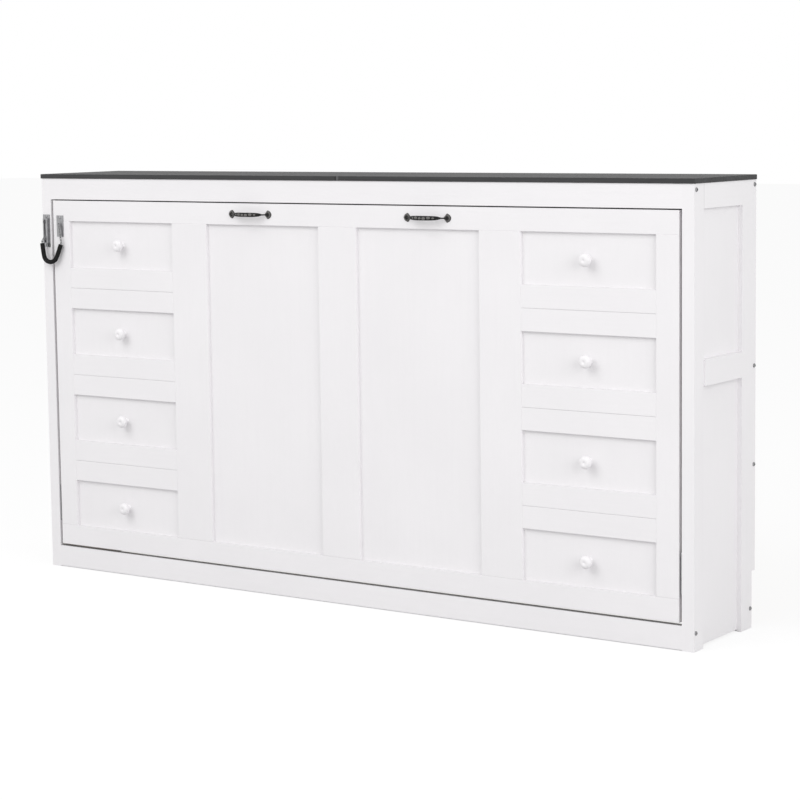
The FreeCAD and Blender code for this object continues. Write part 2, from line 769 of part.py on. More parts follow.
def pulls():
    """Black iron bow pulls: a swelling bar that arches between two petalled rosettes."""
    half_span = size("pull_span") / 2
    thick = size("rosette_thick")
    neck = size("pull_neck_dia") / 2
    swell = size("pull_swell") / 2
    swell_depth = size("pull_swell_depth") / 2
    foot = thick / 2
    rise = size("pull_reach") - swell_depth - foot
    sections = []
    for step in range(PULL_SECTIONS + 1):
        share = 2 * step / PULL_SECTIONS - 1
        fullness = math.sqrt(max(0.0, 1 - (share / PULL_NECK) ** 4))
        tall = neck + (swell - neck) * fullness
        deep = neck + (swell_depth - neck) * fullness
        heading = V(half_span, 2 * share * rise, 0)
        oval = Part.Wire([Part.Ellipse(V(0, 0, 0), tall, deep).toShape()])
        turn = FreeCAD.Rotation(V(0, 0, 1), V(0, 0, 0), heading, "ZXY")
        spot = V(share * half_span, -foot - rise * (1 - share * share), 0)
        oval.Placement = FreeCAD.Placement(spot, turn)
        sections.append(oval)
    bow = Part.makeLoft(sections, True)
    petal = size("petal_dia") / 2
    rim = size("rosette_dia") / 2 - petal
    solids = [bow]
    for side in (-1, 1):
        middle = V(side * half_span, 0, 0)
        boss_radius = (rim * rim + thick * thick) / (2 * thick)
        latitude = math.degrees(math.asin((boss_radius - thick) / boss_radius))
        boss_centre = middle + V(0, boss_radius - thick, 0)
        solids.append(Part.makeSphere(boss_radius, boss_centre, V(0, -1, 0), latitude, 90, 360))
        for step in range(PETALS):
            angle = 2 * math.pi * step / PETALS
            spot = middle + V(rim * math.cos(angle), 0, rim * math.sin(angle))
            solids.append(Part.makeSphere(petal, spot, V(0, -1, 0), 0, 90, 360))
    casting = solids[0].multiFuse(solids[1:]).removeSplitter()
    up = mm(DOOR_HIGH) - size("strip_height") / 2
    for side, sign in (("left", -1), ("right", 1)):
        pull = doc.addObject("Part::Feature", f"pull_{side}")
        pull.Shape = casting.copy()
        pull.Placement = FreeCAD.Placement(V(sign * size("pull_offset"), 0, up), FreeCAD.Rotation())
        node(f"pull_{side}", pull)


PIVOT_BORE = "(Sizes.pin_dia + Sizes.pin_play * 4 + Sizes.bush_wall * 2)"
TAIL_Y = "(Sizes.pivot_back + Sizes.strut_tail_back)"
TAIL_Z = f"({PIVOT_Z} - Sizes.strut_tail_drop)"
ANCHOR_Y = f"({REAR_POST} + Sizes.strut_anchor_inset)"
ANCHOR_Z = "Sizes.strut_anchor_height"
FRAME_IN = f"({FRAME_HALF} - Sizes.bed_rail_thick)"


def bed_frame():
    """The frame behind the front: end rails bored for the pivot, long rails, inner beams and slats."""
    end = block("bed_end_board", (FRAME_IN, DOOR_BACK, FRAME_LOW), (FRAME_HALF, FRAME_BACK, FRAME_HIGH))
    bore = round_tool("bed_end_bore", (FRAME_IN, PIVOT_Y, PIVOT_Z), "x", PIVOT_BORE, "Sizes.bed_rail_thick")
    pair("bed_end", cut("bed_end_right", end, [bore]))
    thick = "Sizes.bed_rail_thick"
    spans = [
        ("bed_rail_top", f"{FRAME_HIGH} - {thick}"),
        ("bed_rail_bottom", FRAME_LOW),
    ]
    for label, low in spans:
        corner = (FRAME_IN, FRAME_BACK, f"({low}) + {thick}")
        node(label, block(label, (f"-{FRAME_IN}", DOOR_BACK, low), corner))
    third = f"(({FRAME_HIGH} - {FRAME_LOW}) / 3)"
    beam_low = f"({FRAME_LOW} + {third} - {thick} / 2)"
    corner = (FRAME_IN, FRAME_BACK, f"{beam_low} + {thick}")
    beam = block("bed_beam", (f"-{FRAME_IN}", DOOR_BACK, beam_low), corner)
    group("bed_beams", copies(beam, [(0, 0, 0), (0, 0, mm(third))]))
    slat = block(
        "slat",
        (f"-{FRAME_HALF}", FRAME_BACK, FRAME_LOW),
        (f"Sizes.slat_width - {FRAME_HALF}", f"{FRAME_BACK} + Sizes.slat_thick", FRAME_HIGH),
    )
    pitch = (2 * mm(FRAME_HALF) - size("slat_width")) / (SLATS - 1)
    group("slats", copies(slat, [(pitch * step, 0, 0) for step in range(SLATS)]))


def both_hands(label, right):
    """Name a right-hand piece and its mirror image as one sub-part."""
    doc.recompute()
    group(label, [right.Shape.copy(), right.Shape.mirror(V(0, 0, 0), V(1, 0, 0))])


def pivots():
    """Steel pivot plates on the front posts, each with a shouldered pin, and the bushes that turn on them."""
    body = doc.addObject("PartDesign::Body", "pivot_plate_right")
    face = f"({POST_IN} - Sizes.pivot_plate_thick)"
    outline = sketch(body, "pivot_plate_outline", "YZ_Plane", face)
    near = "(Sizes.front_post_depth - Sizes.pivot_plate_width)"
    low = f"({PIVOT_Z} - Sizes.pivot_plate_height / 2)"
    high = f"({PIVOT_Z} + Sizes.pivot_plate_height / 2)"
    far = "Sizes.front_post_depth"
    polygon(outline, [(near, low), (far, low), (far, high), (near, high)])
    for sign in ("-", "+"):
        spot = (f"({near} + {far}) / 2", f"{PIVOT_Z} {sign} Sizes.pivot_screw_pitch / 2")
        ring(outline, spot, "Sizes.pivot_screw_dia")
    plate = pad(body, outline, "Sizes.pivot_plate_thick")
    doc.recompute()
    corners = [
        f"Edge{i}"
        for i, edge in enumerate(plate.Shape.Edges, 1)
        if len(edge.Vertexes) == 2 and abs(edge.tangentAt(edge.FirstParameter).x) > 0.99
        and edge.Curve.TypeId == "Part::GeomLine"
        and min(abs(edge.Vertexes[0].Y - mm(near)), abs(edge.Vertexes[0].Y - mm(far))) < 1e-6
    ]
    rounding = body.newObject("PartDesign::Fillet", "pivot_plate_corners")
    rounding.Base = (plate, corners)
    rounding.setExpression("Radius", "Sizes.pivot_plate_corner")
    doc.recompute()
    shoulder_start = f"({FRAME_HALF} + Sizes.bush_flange_thick + Sizes.fit_gap)"
    shoulder = sketch(body, "pivot_shoulder", "YZ_Plane", shoulder_start)
    ring(shoulder, (PIVOT_Y, PIVOT_Z), "Sizes.pin_dia + Sizes.bush_wall * 2")
    pad(body, shoulder, f"{face} - {shoulder_start}")
    pin = sketch(body, "pivot_pin", "YZ_Plane", FRAME_IN)
    ring(pin, (PIVOT_Y, PIVOT_Z), "Sizes.pin_dia")
    pad(body, pin, f"{face} - {FRAME_IN}")
    pair("pivot_plate", body)
    inner = "(Sizes.pin_dia / 2 + Sizes.pin_play)"
    outer = f"({inner} + Sizes.bush_wall)"
    bush = turned(
        "pivot_bush",
        "X_Axis",
        "XY_Plane",
        [
            ("-Sizes.bed_rail_thick", inner),
            ("Sizes.bush_flange_thick", inner),
            ("Sizes.bush_flange_thick", f"{outer} + Sizes.bush_flange"),
            ("0", f"{outer} + Sizes.bush_flange"),
            ("0", outer),
            ("-Sizes.bed_rail_thick", outer),
        ],
        (FRAME_HALF, PIVOT_Y, PIVOT_Z),
    )
    both_hands("pivot_bushes", bush)


def stud(name, start, profile):
    """A turned stud whose profile runs along +X from a point, given as reaches and radii."""
    points = [("0", "0")]
    reach = "0"
    for length, radius in profile:
        points.append((reach, radius))
        reach = f"({reach} + {length})"
        points.append((reach, radius))
    points.append((reach, "0"))
    return turned(name, "X_Axis", "XY_Plane", points, start)


def struts():
    """Gas struts: anchor studs on the rear posts, cylinders, rods with pistons, studs on the bed's tail."""
    plate = ("Sizes.strut_plate_thick", "Sizes.strut_plate_dia / 2")
    collar = "(Sizes.strut_pin_dia / 2 + 2)"
    head = ("Sizes.strut_head_thick", "(Sizes.strut_pin_dia / 2 + Sizes.strut_head_lap)")
    room = f"({POST_IN} - {STRUT_X})"
    eye_half = "(Sizes.strut_eye_width / 2 + Sizes.fit_gap)"
    anchor = doc.addObject("Part::Mirroring", "strut_anchor")
    anchor.Source = stud(
        "strut_anchor_stud",
        (f"-{POST_IN}", ANCHOR_Y, ANCHOR_Z),
        [
            plate,
            (f"({room} - {eye_half} - Sizes.strut_plate_thick)", collar),
            (f"({eye_half} * 2)", "(Sizes.strut_pin_dia / 2)"),
            head,
        ],
    )
    anchor.Normal = V(1, 0, 0)
    both_hands("strut_anchors", anchor)
    tail = stud(
        "strut_stud",
        (FRAME_HALF, TAIL_Y, TAIL_Z),
        [plate, (f"(Sizes.strut_inset - {eye_half} - Sizes.strut_plate_thick)", collar)],
    )
    both_hands("strut_studs", tail)

    run_y = mm(TAIL_Y) - mm(ANCHOR_Y)
    run_z = mm(TAIL_Z) - mm(ANCHOR_Z)
    length = math.hypot(run_y, run_z)
    lean = math.degrees(math.atan2(-run_y, run_z))
    seat = FreeCAD.Placement(V(mm(STRUT_X), mm(ANCHOR_Y), mm(ANCHOR_Z)), FreeCAD.Rotation(V(1, 0, 0), lean))
    print(f"strut: {length:.2f} mm between eyes at rest")

    radius = "(Sizes.strut_tube_dia / 2)"
    bore = f"({radius} - Sizes.strut_tube_wall)"
    start = "Sizes.strut_tube_start"
    end = "(Sizes.strut_tube_start + Sizes.strut_tube_length)"
    gland = "(Sizes.strut_rod_dia / 2 + Sizes.pin_play)"
    wall = "(Sizes.strut_tube_wall * 3)"
    tube = turned(
        "strut_tube",
        "Z_Axis",
        "XZ_Plane",
        [
            ("0", "Sizes.strut_eye_dia / 4"),
            ("Sizes.strut_pin_dia / 2", "Sizes.strut_eye_dia / 4"),
            ("Sizes.strut_pin_dia / 2", start),
            (radius, start),
            (radius, end),
            (gland, end),
            (gland, f"{end} - {wall}"),
            (bore, f"{end} - {wall}"),
            (bore, f"{start} + {wall}"),
            ("0", f"{start} + {wall}"),
        ],
    )
    eye_start = ("-Sizes.strut_eye_width / 2", "0", "0")
    eye = round_tool("strut_tube_eye", eye_start, "x", "Sizes.strut_eye_dia", "Sizes.strut_eye_width")
    hole_dia = "(Sizes.strut_pin_dia + Sizes.pin_play * 2)"
    hole = round_tool("strut_eye_hole", eye_start, "x", hole_dia, "Sizes.strut_eye_width")
    blank = joined("strut_cylinder_blank", "Part::MultiFuse", [tube, eye])
    cylinder = cut("strut_cylinder_right", blank, [hole])
    cylinder.Placement = seat
    pair("strut_cylinder", cylinder)

    rod_radius = "(Sizes.strut_rod_dia / 2)"
    piston = f"({bore} - Sizes.pin_play * 2)"
    piston_high = f"({end} - {wall} - Sizes.fit_gap * 4)"
    piston_low = f"({piston_high} - Sizes.strut_rod_dia * 1.5)"
    rod = turned(
        "strut_rod",
        "Z_Axis",
        "XZ_Plane",
        [
            ("0", piston_low),
            (piston, piston_low),
            (piston, piston_high),
            (rod_radius, piston_high),
            (rod_radius, str(length)),
            ("0", str(length)),
        ],
    )
    far_start = ("-Sizes.strut_eye_width / 2", "0", str(length))
    far_eye = round_tool("strut_rod_eye", far_start, "x", "Sizes.strut_eye_dia", "Sizes.strut_eye_width")
    cap_start = ("Sizes.strut_eye_width / 2", "0", str(length))
    cap = round_tool("strut_rod_cap", cap_start, "x", f"{collar} * 2", "Sizes.strut_cap_thick")
    rod_whole = joined("strut_rod_right", "Part::MultiFuse", [rod, far_eye, cap])
    rod_whole.Placement = seat
    pair("strut_rod", rod_whole)


def legs():
    """Flat steel legs that hang plumb in the gap beside the front, with rubber feet, on shouldered axles."""
    half = "(Sizes.leg_width / 2)"
    out = f"({LEG_X} + Sizes.leg_thick)"
    foot_low = f"({LEG_Z} - {LEG_REACH})"
    bar_low = f"({foot_low} + Sizes.leg_foot_wall * 3)"
    bar = block("leg_bar", (LEG_X, f"{LEG_Y} - {half}", bar_low), (out, f"{LEG_Y} + {half}", LEG_Z))
    crown = round_tool("leg_crown", (LEG_X, LEG_Y, LEG_Z), "x", "Sizes.leg_width", "Sizes.leg_thick")
    bore_dia = "(Sizes.leg_axle_dia + Sizes.pin_play * 2)"
    bore = round_tool("leg_bore", (LEG_X, LEG_Y, LEG_Z), "x", bore_dia, "Sizes.leg_thick")
    pair("leg", cut("leg_right", joined("leg_blank", "Part::MultiFuse", [bar, crown]), [bore]))
    wall = "Sizes.leg_foot_wall"
    boot = block(
        "leg_boot",
        (f"{LEG_X} - {wall}", f"{LEG_Y} - {half} - {wall} * 2", foot_low),
        (f"{out} + {wall}", f"{LEG_Y} + {half} + {wall} * 2", f"{foot_low} + Sizes.leg_foot_height"),
    )
    socket = block(
        "leg_boot_socket",
        (LEG_X, f"{LEG_Y} - {half}", bar_low),
        (out, f"{LEG_Y} + {half}", f"{foot_low} + Sizes.leg_foot_height"),
    )
    pair("leg_foot", cut("leg_foot_right", boot, [socket]))
    gap = "(Sizes.fit_gap / 2)"
    axle = stud(
        "leg_axle",
        (FRAME_HALF, LEG_Y, LEG_Z),
        [
            ("Sizes.leg_thick", "Sizes.leg_axle_flange / 2"),
            (f"({LEG_X} - {FRAME_HALF} - Sizes.leg_thick - {gap})", "Sizes.leg_axle_shoulder / 2"),
            (f"(Sizes.leg_thick + {gap} * 2)", "Sizes.leg_axle_dia / 2"),
            ("Sizes.leg_axle_head_thick", "(Sizes.leg_axle_dia / 2 + Sizes.leg_axle_head_lap)"),
        ],
    )
    both_hands("leg_axles", axle)


def chain_track():
    """A slotted housing on a screwed flange, on the left front post. The slider enters its round end."""
    half = "(Sizes.track_width / 2)"
    high = f"({TRACK_LOW} + Sizes.track_height)"
    flange = block(
        "track_flange_plate",
        (f"{TRACK_X} - {half}", "-Sizes.track_flange", TRACK_LOW),
        (f"{TRACK_X} + {half}", "0", high),
    )
    face = "(-Sizes.housing_depth)"
    side = "(Sizes.housing_width / 2)"
    housing_low = f"({TRACK_LOW} + Sizes.housing_inset)"
    housing_high = f"({high} - Sizes.housing_inset)"
    body = block(
        "track_housing_body",
        (f"{TRACK_X} - {side}", face, housing_low),
        (f"{TRACK_X} + {side}", "0", housing_high),
    )
    front_y = mm(face)
    housing = eased(
        "track_housing",
        body,
        size("housing_ease"),
        lambda edge: all(abs(corner.Point.y - front_y) < 1e-6 for corner in edge.Vertexes),
    )
    shell = joined("track_shell", "Part::MultiFuse", [flange, housing])
    wide = "(Sizes.track_channel / 2)"
    channel_low = f"({housing_low} + Sizes.housing_wall)"
    channel_high = f"({housing_high} - Sizes.housing_wall)"
    lip = f"({face} + Sizes.track_lip)"
    channel = block(
        "track_cavity",
        (f"{TRACK_X} - {wide}", lip, channel_low),
        (f"{TRACK_X} + {wide}", f"{lip} + Sizes.track_channel_depth", channel_high),
    )
    narrow = "(Sizes.track_slot / 2)"
    slot = block(
        "track_slot_cut",
        (f"{TRACK_X} - {narrow}", face, channel_low),
        (f"{TRACK_X} + {narrow}", lip, channel_high),
    )
    entry_dia = "(Sizes.slider_head_dia + Sizes.fit_gap * 4)"
    entry_start = (TRACK_X, face, f"{channel_high} - {wide}")
    entry = round_tool("track_entry", entry_start, "y", entry_dia, "Sizes.track_lip")
    tools = [channel, slot, entry]
    screws = {
        "low": f"{TRACK_LOW} + Sizes.track_screw_inset",
        "high": f"{high} - Sizes.track_screw_inset",
    }
    for name, up in screws.items():
        start = (TRACK_X, "-Sizes.track_flange", up)
        hole = round_tool(f"track_hole_{name}", start, "y", "Sizes.track_screw_dia", "Sizes.track_flange")
        tools.append(hole)
    node("chain_track", cut("chain_track", shell, tools))


def chain_anchor():
    """A plate on the front's left stile with a staple that holds the chain."""
    half = "(Sizes.anchor_width / 2)"
    middle = f"({ANCHOR_LOW} + Sizes.anchor_height / 2)"
    body = doc.addObject("PartDesign::Body", "anchor_plate")
    outline = sketch(body, "anchor_outline", "XZ_Plane")
    high = f"({ANCHOR_LOW} + Sizes.anchor_height)"
    left = f"({ANCHOR_X} - {half})"
    right = f"({ANCHOR_X} + {half})"
    polygon(outline, [(left, ANCHOR_LOW), (right, ANCHOR_LOW), (right, high), (left, high)])
    for sign in ("-", "+"):
        spot = (ANCHOR_X, f"{middle} {sign} Sizes.anchor_screw_pitch / 2")
        ring(outline, spot, "Sizes.track_screw_dia")
    pad(body, outline, "Sizes.anchor_thick")
    doc.recompute()
    if body.Shape.BoundBox.YMax > 1e-6:
        raise RuntimeError("the anchor plate lies on the wrong side of the front")
    arch = doc.addObject("Part::Torus", "anchor_staple")
    bind(arch, Radius1="Sizes.staple_radius", Radius2="Sizes.staple_wire / 2")
    arch.Angle3 = 180
    arch.Placement.Rotation = FreeCAD.Rotation(V(0, 0, 1), 180)
    place(arch, (ANCHOR_X, "-Sizes.anchor_thick", STAPLE_Z))
    node("chain_anchor", joined("chain_anchor", "Part::MultiFuse", [body, arch]))


def chain_link():
    """One racetrack link in the XZ plane, centred on the origin, its long way along Z."""
    wire = size("link_wire") / 2
    bend = size("link_bore") / 2 + wire
    half = (size("link_length") - size("link_bore")) / 2
    solids = []
    for up in (1, -1):
        arc = Part.makeTorus(bend, wire, V(0, 0, 0), V(0, 0, 1), -180, 180, 180)
        arc.rotate(V(0, 0, 0), V(1, 0, 0), 90 * up)
        arc.translate(V(0, 0, half * up))
        solids.append(arc)
    for side in (1, -1):
        solids.append(Part.makeCylinder(wire, 2 * half, V(bend * side, 0, -half), V(0, 0, 1)))
    return solids[0].multiFuse(solids[1:]).removeSplitter()


def hung(link, top, down, along):
    """A link that hangs down a direction, with its upper bend centred on a point and lying along another."""
    reach = (size("link_length") + size("link_wire")) / 2
    shape = link.copy()
    turn = FreeCAD.Rotation(along, V(0, 0, 0), -down, "ZXY")
    shape.Placement = FreeCAD.Placement(top + down * reach, turn)
    return shape


def anchor_links(link):
    """The run of links from the staple down into the sleeve's right end."""
    gap = size("fit_gap")
    wire = size("link_wire")
    mouth = V(*SLEEVE_ROUTE[-1])
    inward = (V(*SLEEVE_ROUTE[-2]) - mouth).normalize()
    staple = V(mm(ANCHOR_X), -size("anchor_thick") - size("staple_radius"), mm(STAPLE_Z))
    last = mouth - inward * size("sleeve_lap")
    down = (last - staple).normalize()
    pitch = size("link_length") - gap
    first = (size("staple_wire") + wire) / 2 + gap
    count = round(((last - staple).Length + first - pitch - wire - gap) / pitch) + 1
    links = []
    for step in range(count):
        along = V(1, 0, 0) if step % 2 else V(0, 1, 0)
        links.append(hung(link, staple + down * (pitch * step - first), down, along))
    bottom = staple + down * (pitch * count - first + wire + gap)
    along = V(1, 0, 0) if count % 2 else V(0, 1, 0)
    links.append(hung(link, bottom - inward * (wire + gap), inward, along))
    return links


def slider_links(link, eye, lean):
    """The two links from the slider's eye down into the sleeve's left end."""
    gap = size("fit_gap")
    wire = size("link_wire")
    mouth = V(*SLEEVE_ROUTE[0])
    inward = (V(*SLEEVE_ROUTE[1]) - mouth).normalize()
    hook = eye + lean * (size("slider_eye_radius") - wire - gap * 2)
    down = (mouth - inward * size("sleeve_lap") - hook).normalize()
    along = lean.cross(V(0, 1, 0))
    bottom = hook + down * (size("link_length") + wire)
    return [
        hung(link, hook, down, along),
        hung(link, bottom - inward * (wire + gap), inward, down.cross(along)),
    ]


def slider_button(eye, lean):
    """The slider: a flat head in the track's channel, a neck through its slot, and an eye for the chain."""
    ring_radius = size("slider_eye_radius")
    head_face = size("track_lip") - size("housing_depth") + size("fit_gap")
    start = V(eye.x, head_face, eye.z)
    head = Part.makeCylinder(size("slider_head_dia") / 2, size("slider_head_thick"), start, V(0, 1, 0))
    neck_length = size("slider_eye_back") + head_face - ring_radius
    neck = Part.makeCylinder(size("slider_neck_dia") / 2, neck_length, start, V(0, -1, 0))
    loop = Part.makeTorus(ring_radius, size("link_wire") / 2, eye, lean.cross(V(0, 1, 0)))
    return head.multiFuse([neck, loop]).removeSplitter()


def chain():
    """The chain that holds the front shut: links, the slider in its track, and a sleeve over the slack."""
    link = chain_link()
    eye = V(mm(TRACK_X), -size("slider_eye_back"), mm(SLIDER_Z))
    lean = (V(SLEEVE_ROUTE[0][0], eye.y, SLEEVE_ROUTE[0][2]) - eye).normalize()
    group("chain_links", anchor_links(link) + slider_links(link, eye, lean))
    slider = doc.addObject("Part::Feature", "chain_slider")
    slider.Shape = slider_button(eye, lean)
    node("chain_slider", slider)
    sleeve = doc.addObject("Part::Feature", "chain_sleeve")
    outside = tube_along(SLEEVE_ROUTE, size("sleeve_dia"))
    inside = tube_along(SLEEVE_ROUTE, size("sleeve_dia") - 2 * size("sleeve_wall"))
    sleeve.Shape = outside.cut(inside)
    node("chain_sleeve", sleeve)


def tube_along(route, diameter):
    """A round bar along straight runs that tangent arcs join, each arc as large as its runs allow."""
    points = [V(*point) for point in route]
    edges = []
    at = points[0]
    total = 0.0
    for before, corner, after in zip(points, points[1:], points[2:]):
        inward = (corner - before).normalize()
        outward = (after - corner).normalize()
        turn = inward.getAngle(outward)
        setback = BEND_SHARE * min((corner - before).Length, (after - corner).Length)
        radius = setback / math.tan(turn / 2)
        leave = corner - inward * setback
        join = corner + outward * setback
        bisector = (outward - inward).normalize()
        crest = corner + bisector * (radius / math.cos(turn / 2) - radius)
        edges.append(Part.LineSegment(at, leave).toShape())
        edges.append(Part.Arc(leave, crest, join).toShape())
        total += (leave - at).Length + radius * turn
        at = join
        print(f"sleeve bend: {radius:.1f} mm radius")
    edges.append(Part.LineSegment(at, points[-1]).toShape())
    total += (points[-1] - at).Length
    path = Part.Wire(edges)
    section = Part.Wire([Part.Circle(points[0], points[1] - points[0], diameter / 2).toShape()])
    tube = path.makePipeShell([section], True, False)
    expected = math.pi * diameter * diameter / 4 * total
    print(f"sleeve: {total:.1f} mm long, volume {tube.Volume / expected:.4f} of section times length")
    return tube


def check():
    """Stop if any object failed or any sub-part has no valid shape."""
    doc.recompute()
    for thing in doc.Objects:
        if "Invalid" in thing.State or "Error" in thing.State:
            raise RuntimeError(f"{thing.Label} failed: {thing.State}")
    for piece in nodes:
        if piece.Shape.isNull() or not piece.Shape.isValid():
            raise RuntimeError(f"{piece.Label} has no valid shape")


def write():
    """Write each sub-part to its own file."""
    os.makedirs("parts", exist_ok=True)
    for piece in nodes:
        piece.Shape.exportStep(f"parts/{piece.Label}.step")
    print(f"{len(nodes)} sub-parts written")


top_panels()
posts()
sides()
rails()
bolts()
knobs(*front())
pulls()
bed_frame()
pivots()
struts()
legs()
chain_track()
chain_anchor()
chain()
check()
write()
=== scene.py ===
import math

import bmesh
import bpy
from mathutils import Matrix, Vector


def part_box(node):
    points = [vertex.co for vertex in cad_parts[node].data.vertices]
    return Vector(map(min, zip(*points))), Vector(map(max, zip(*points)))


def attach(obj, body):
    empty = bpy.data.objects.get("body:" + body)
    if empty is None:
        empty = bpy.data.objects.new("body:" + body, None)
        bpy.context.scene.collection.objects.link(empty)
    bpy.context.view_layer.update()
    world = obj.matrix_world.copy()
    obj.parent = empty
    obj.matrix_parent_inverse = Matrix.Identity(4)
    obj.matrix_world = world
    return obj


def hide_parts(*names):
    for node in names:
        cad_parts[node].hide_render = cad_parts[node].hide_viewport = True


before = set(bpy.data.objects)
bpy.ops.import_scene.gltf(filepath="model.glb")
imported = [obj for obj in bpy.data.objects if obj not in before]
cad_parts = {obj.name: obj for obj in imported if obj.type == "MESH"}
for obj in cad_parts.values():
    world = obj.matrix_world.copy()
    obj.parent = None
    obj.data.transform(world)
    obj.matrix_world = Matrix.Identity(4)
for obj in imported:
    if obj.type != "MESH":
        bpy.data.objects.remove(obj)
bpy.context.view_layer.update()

bl_info = {
    "name": "Wall Bed Looks",
    "version": (1, 0, 0),
    "blender": (4, 5, 0),
    "location": "View3D > Sidebar > Wall Bed",
    "description": "Finishes the wall bed and models its iron pulls, screws and chain sleeve",
    "category": "Object",
}

# Painted boards by the way that their grain runs
PAINTED_BOARDS = {
    "across": ["header_rail", "base_rail", "front_top_rail", "front_bottom_rail", "drawer_rails"],
    "upright": [
        "front_post_left", "front_post_right", "rear_post_left", "rear_post_right",
        "side_panel_left", "side_panel_right", "front_panel", "stile_centre",
        "stile_inner_left", "stile_inner_right", "stile_outer_left", "stile_outer_right",
    ],
    "deep": ["side_top_rail_left", "side_top_rail_right", "side_mid_rail_left", "side_mid_rail_right"],
}

# Bare pine by the way that its grain runs
PINE_BOARDS = {
    "across": [
        "back_rail_top", "back_rail_upper", "back_rail_lower", "back_rail_bottom",
        "bed_rail_top", "bed_rail_bottom", "bed_beams",
    ],
    "upright": ["bed_end_left", "bed_end_right", "slats"],
    "deep": ["top_braces"],
}

BRIGHT_STEEL = [
    "barrel_nuts", "chain_track", "chain_anchor", "chain_slider",
    "pivot_plate_left", "pivot_plate_right", "strut_anchors", "strut_studs", "leg_axles", "pivot_bushes",
    "strut_rod_left", "strut_rod_right",
]
DULL_STEEL = ["carcass_bolts", "chain_links"]
# The stop rail gets this black as painted shade, which darkens the gap above the front
BLACK_STEEL_AND_GAP_SHADE = ["stop_rail", "leg_left", "leg_right", "strut_cylinder_left", "strut_cylinder_right"]
BLACK_RUBBER = ["leg_foot_left", "leg_foot_right"]


class FinishSettings(bpy.types.PropertyGroup):
    """Colours of the finishes."""

    white: bpy.props.FloatVectorProperty(
        name="White paint",
        description="Paint on the boards",
        subtype="COLOR",
        default=(0.863, 0.848, 0.863),
    )
    # Painted shade: a flat grey for the base rail's top face, which darkens the gap under the front
    gap_shade: bpy.props.FloatVectorProperty(
        name="Gap shade",
        description="Bare primer on the top face of the base rail",
        subtype="COLOR",
        default=(0.30, 0.30, 0.305),
    )
    grey: bpy.props.FloatVectorProperty(
        name="Grey top",
        description="Paint on the two top panels",
        subtype="COLOR",
        default=(0.045, 0.045, 0.0465),
    )
    pine: bpy.props.FloatVectorProperty(
        name="Pine",
        description="Early wood of the bare boards",
        subtype="COLOR",
        default=(0.74, 0.56, 0.35),
    )
    pine_ring: bpy.props.FloatVectorProperty(
        name="Pine ring",
        description="Late wood of the bare boards",
        subtype="COLOR",
        default=(0.60, 0.40, 0.21),
    )
    steel: bpy.props.FloatVectorProperty(
        name="Bright steel",
        description="Zinc plate on the fittings",
        subtype="COLOR",
        default=(0.37, 0.37, 0.38),
    )
    bolt: bpy.props.FloatVectorProperty(
        name="Dull steel",
        description="Bolts through the posts, and the chain",
        subtype="COLOR",
        default=(0.29, 0.29, 0.295),
    )
    # On the stop rail this black is painted shade, which darkens the gap above the front
    black: bpy.props.FloatVectorProperty(
        name="Black steel",
        description="Paint on the legs, the struts and the stop rail",
        subtype="COLOR",
        default=(0.012, 0.012, 0.013),
    )
    iron: bpy.props.FloatVectorProperty(
        name="Black iron",
        description="Wax finish of the pulls",
        subtype="COLOR",
        default=(0.006, 0.0058, 0.0056),
    )
    rubber: bpy.props.FloatVectorProperty(
        name="Black rubber",
        description="Sleeve and feet",
        subtype="COLOR",
        default=(0.006, 0.006, 0.006),
    )


class StageSettings(bpy.types.PropertyGroup):
    """Camera, floor and light."""

    eye: bpy.props.FloatVectorProperty(
        name="Eye",
        description="Where the camera stands",
        subtype="TRANSLATION",
        unit="LENGTH",
        default=(3.43202, -4.71092, 1.27518),
    )
    heading: bpy.props.FloatProperty(
        name="Heading",
        description="How far the camera turns to the left",
        subtype="ANGLE",
        default=0.6025,
    )
    dip: bpy.props.FloatProperty(
        name="Dip",
        description="How far the camera looks down",
        subtype="ANGLE",
        default=0.1088,
    )
    roll: bpy.props.FloatProperty(
        name="Roll",
        description="How far the camera leans",
        subtype="ANGLE",
        default=-0.0129,
    )
    lens: bpy.props.FloatProperty(
        name="Lens",
        description="Focal length on a 36 mm sensor",
        unit="CAMERA",
        default=102.466,
    )
    drop: bpy.props.FloatProperty(
        name="Shift",
        description="Vertical shift of the lens, in frame widths",
        default=-0.05,
    )
    sky: bpy.props.FloatProperty(
        name="Sky",
        description="Strength of the even light from all round",
        default=0.79,
    )
    key: bpy.props.FloatProperty(
        name="Key",
        description="Power of the large lamp in front",
        unit="POWER",
        default=97.0,
    )
    side: bpy.props.FloatProperty(
        name="Side",
        description="Power of the lamp at the right",
        unit="POWER",
        default=67.0,
    )
    veil: bpy.props.FloatProperty(
        name="Veil",
        description="How much of the floor shows as plain white",
        subtype="FACTOR",
        default=0.8,
    )


class ChainSettings(bpy.types.PropertyGroup):
    """The sleeve over the chain guard."""

    diameter: bpy.props.FloatProperty(
        name="Sleeve diameter",
        description="Across the outside of the sleeve",
        unit="LENGTH",
        default=0.0126,
    )
    length: bpy.props.FloatProperty(
        name="Sleeve length",
        description="Along the middle of the sleeve",
        unit="LENGTH",
        default=0.1312,
    )


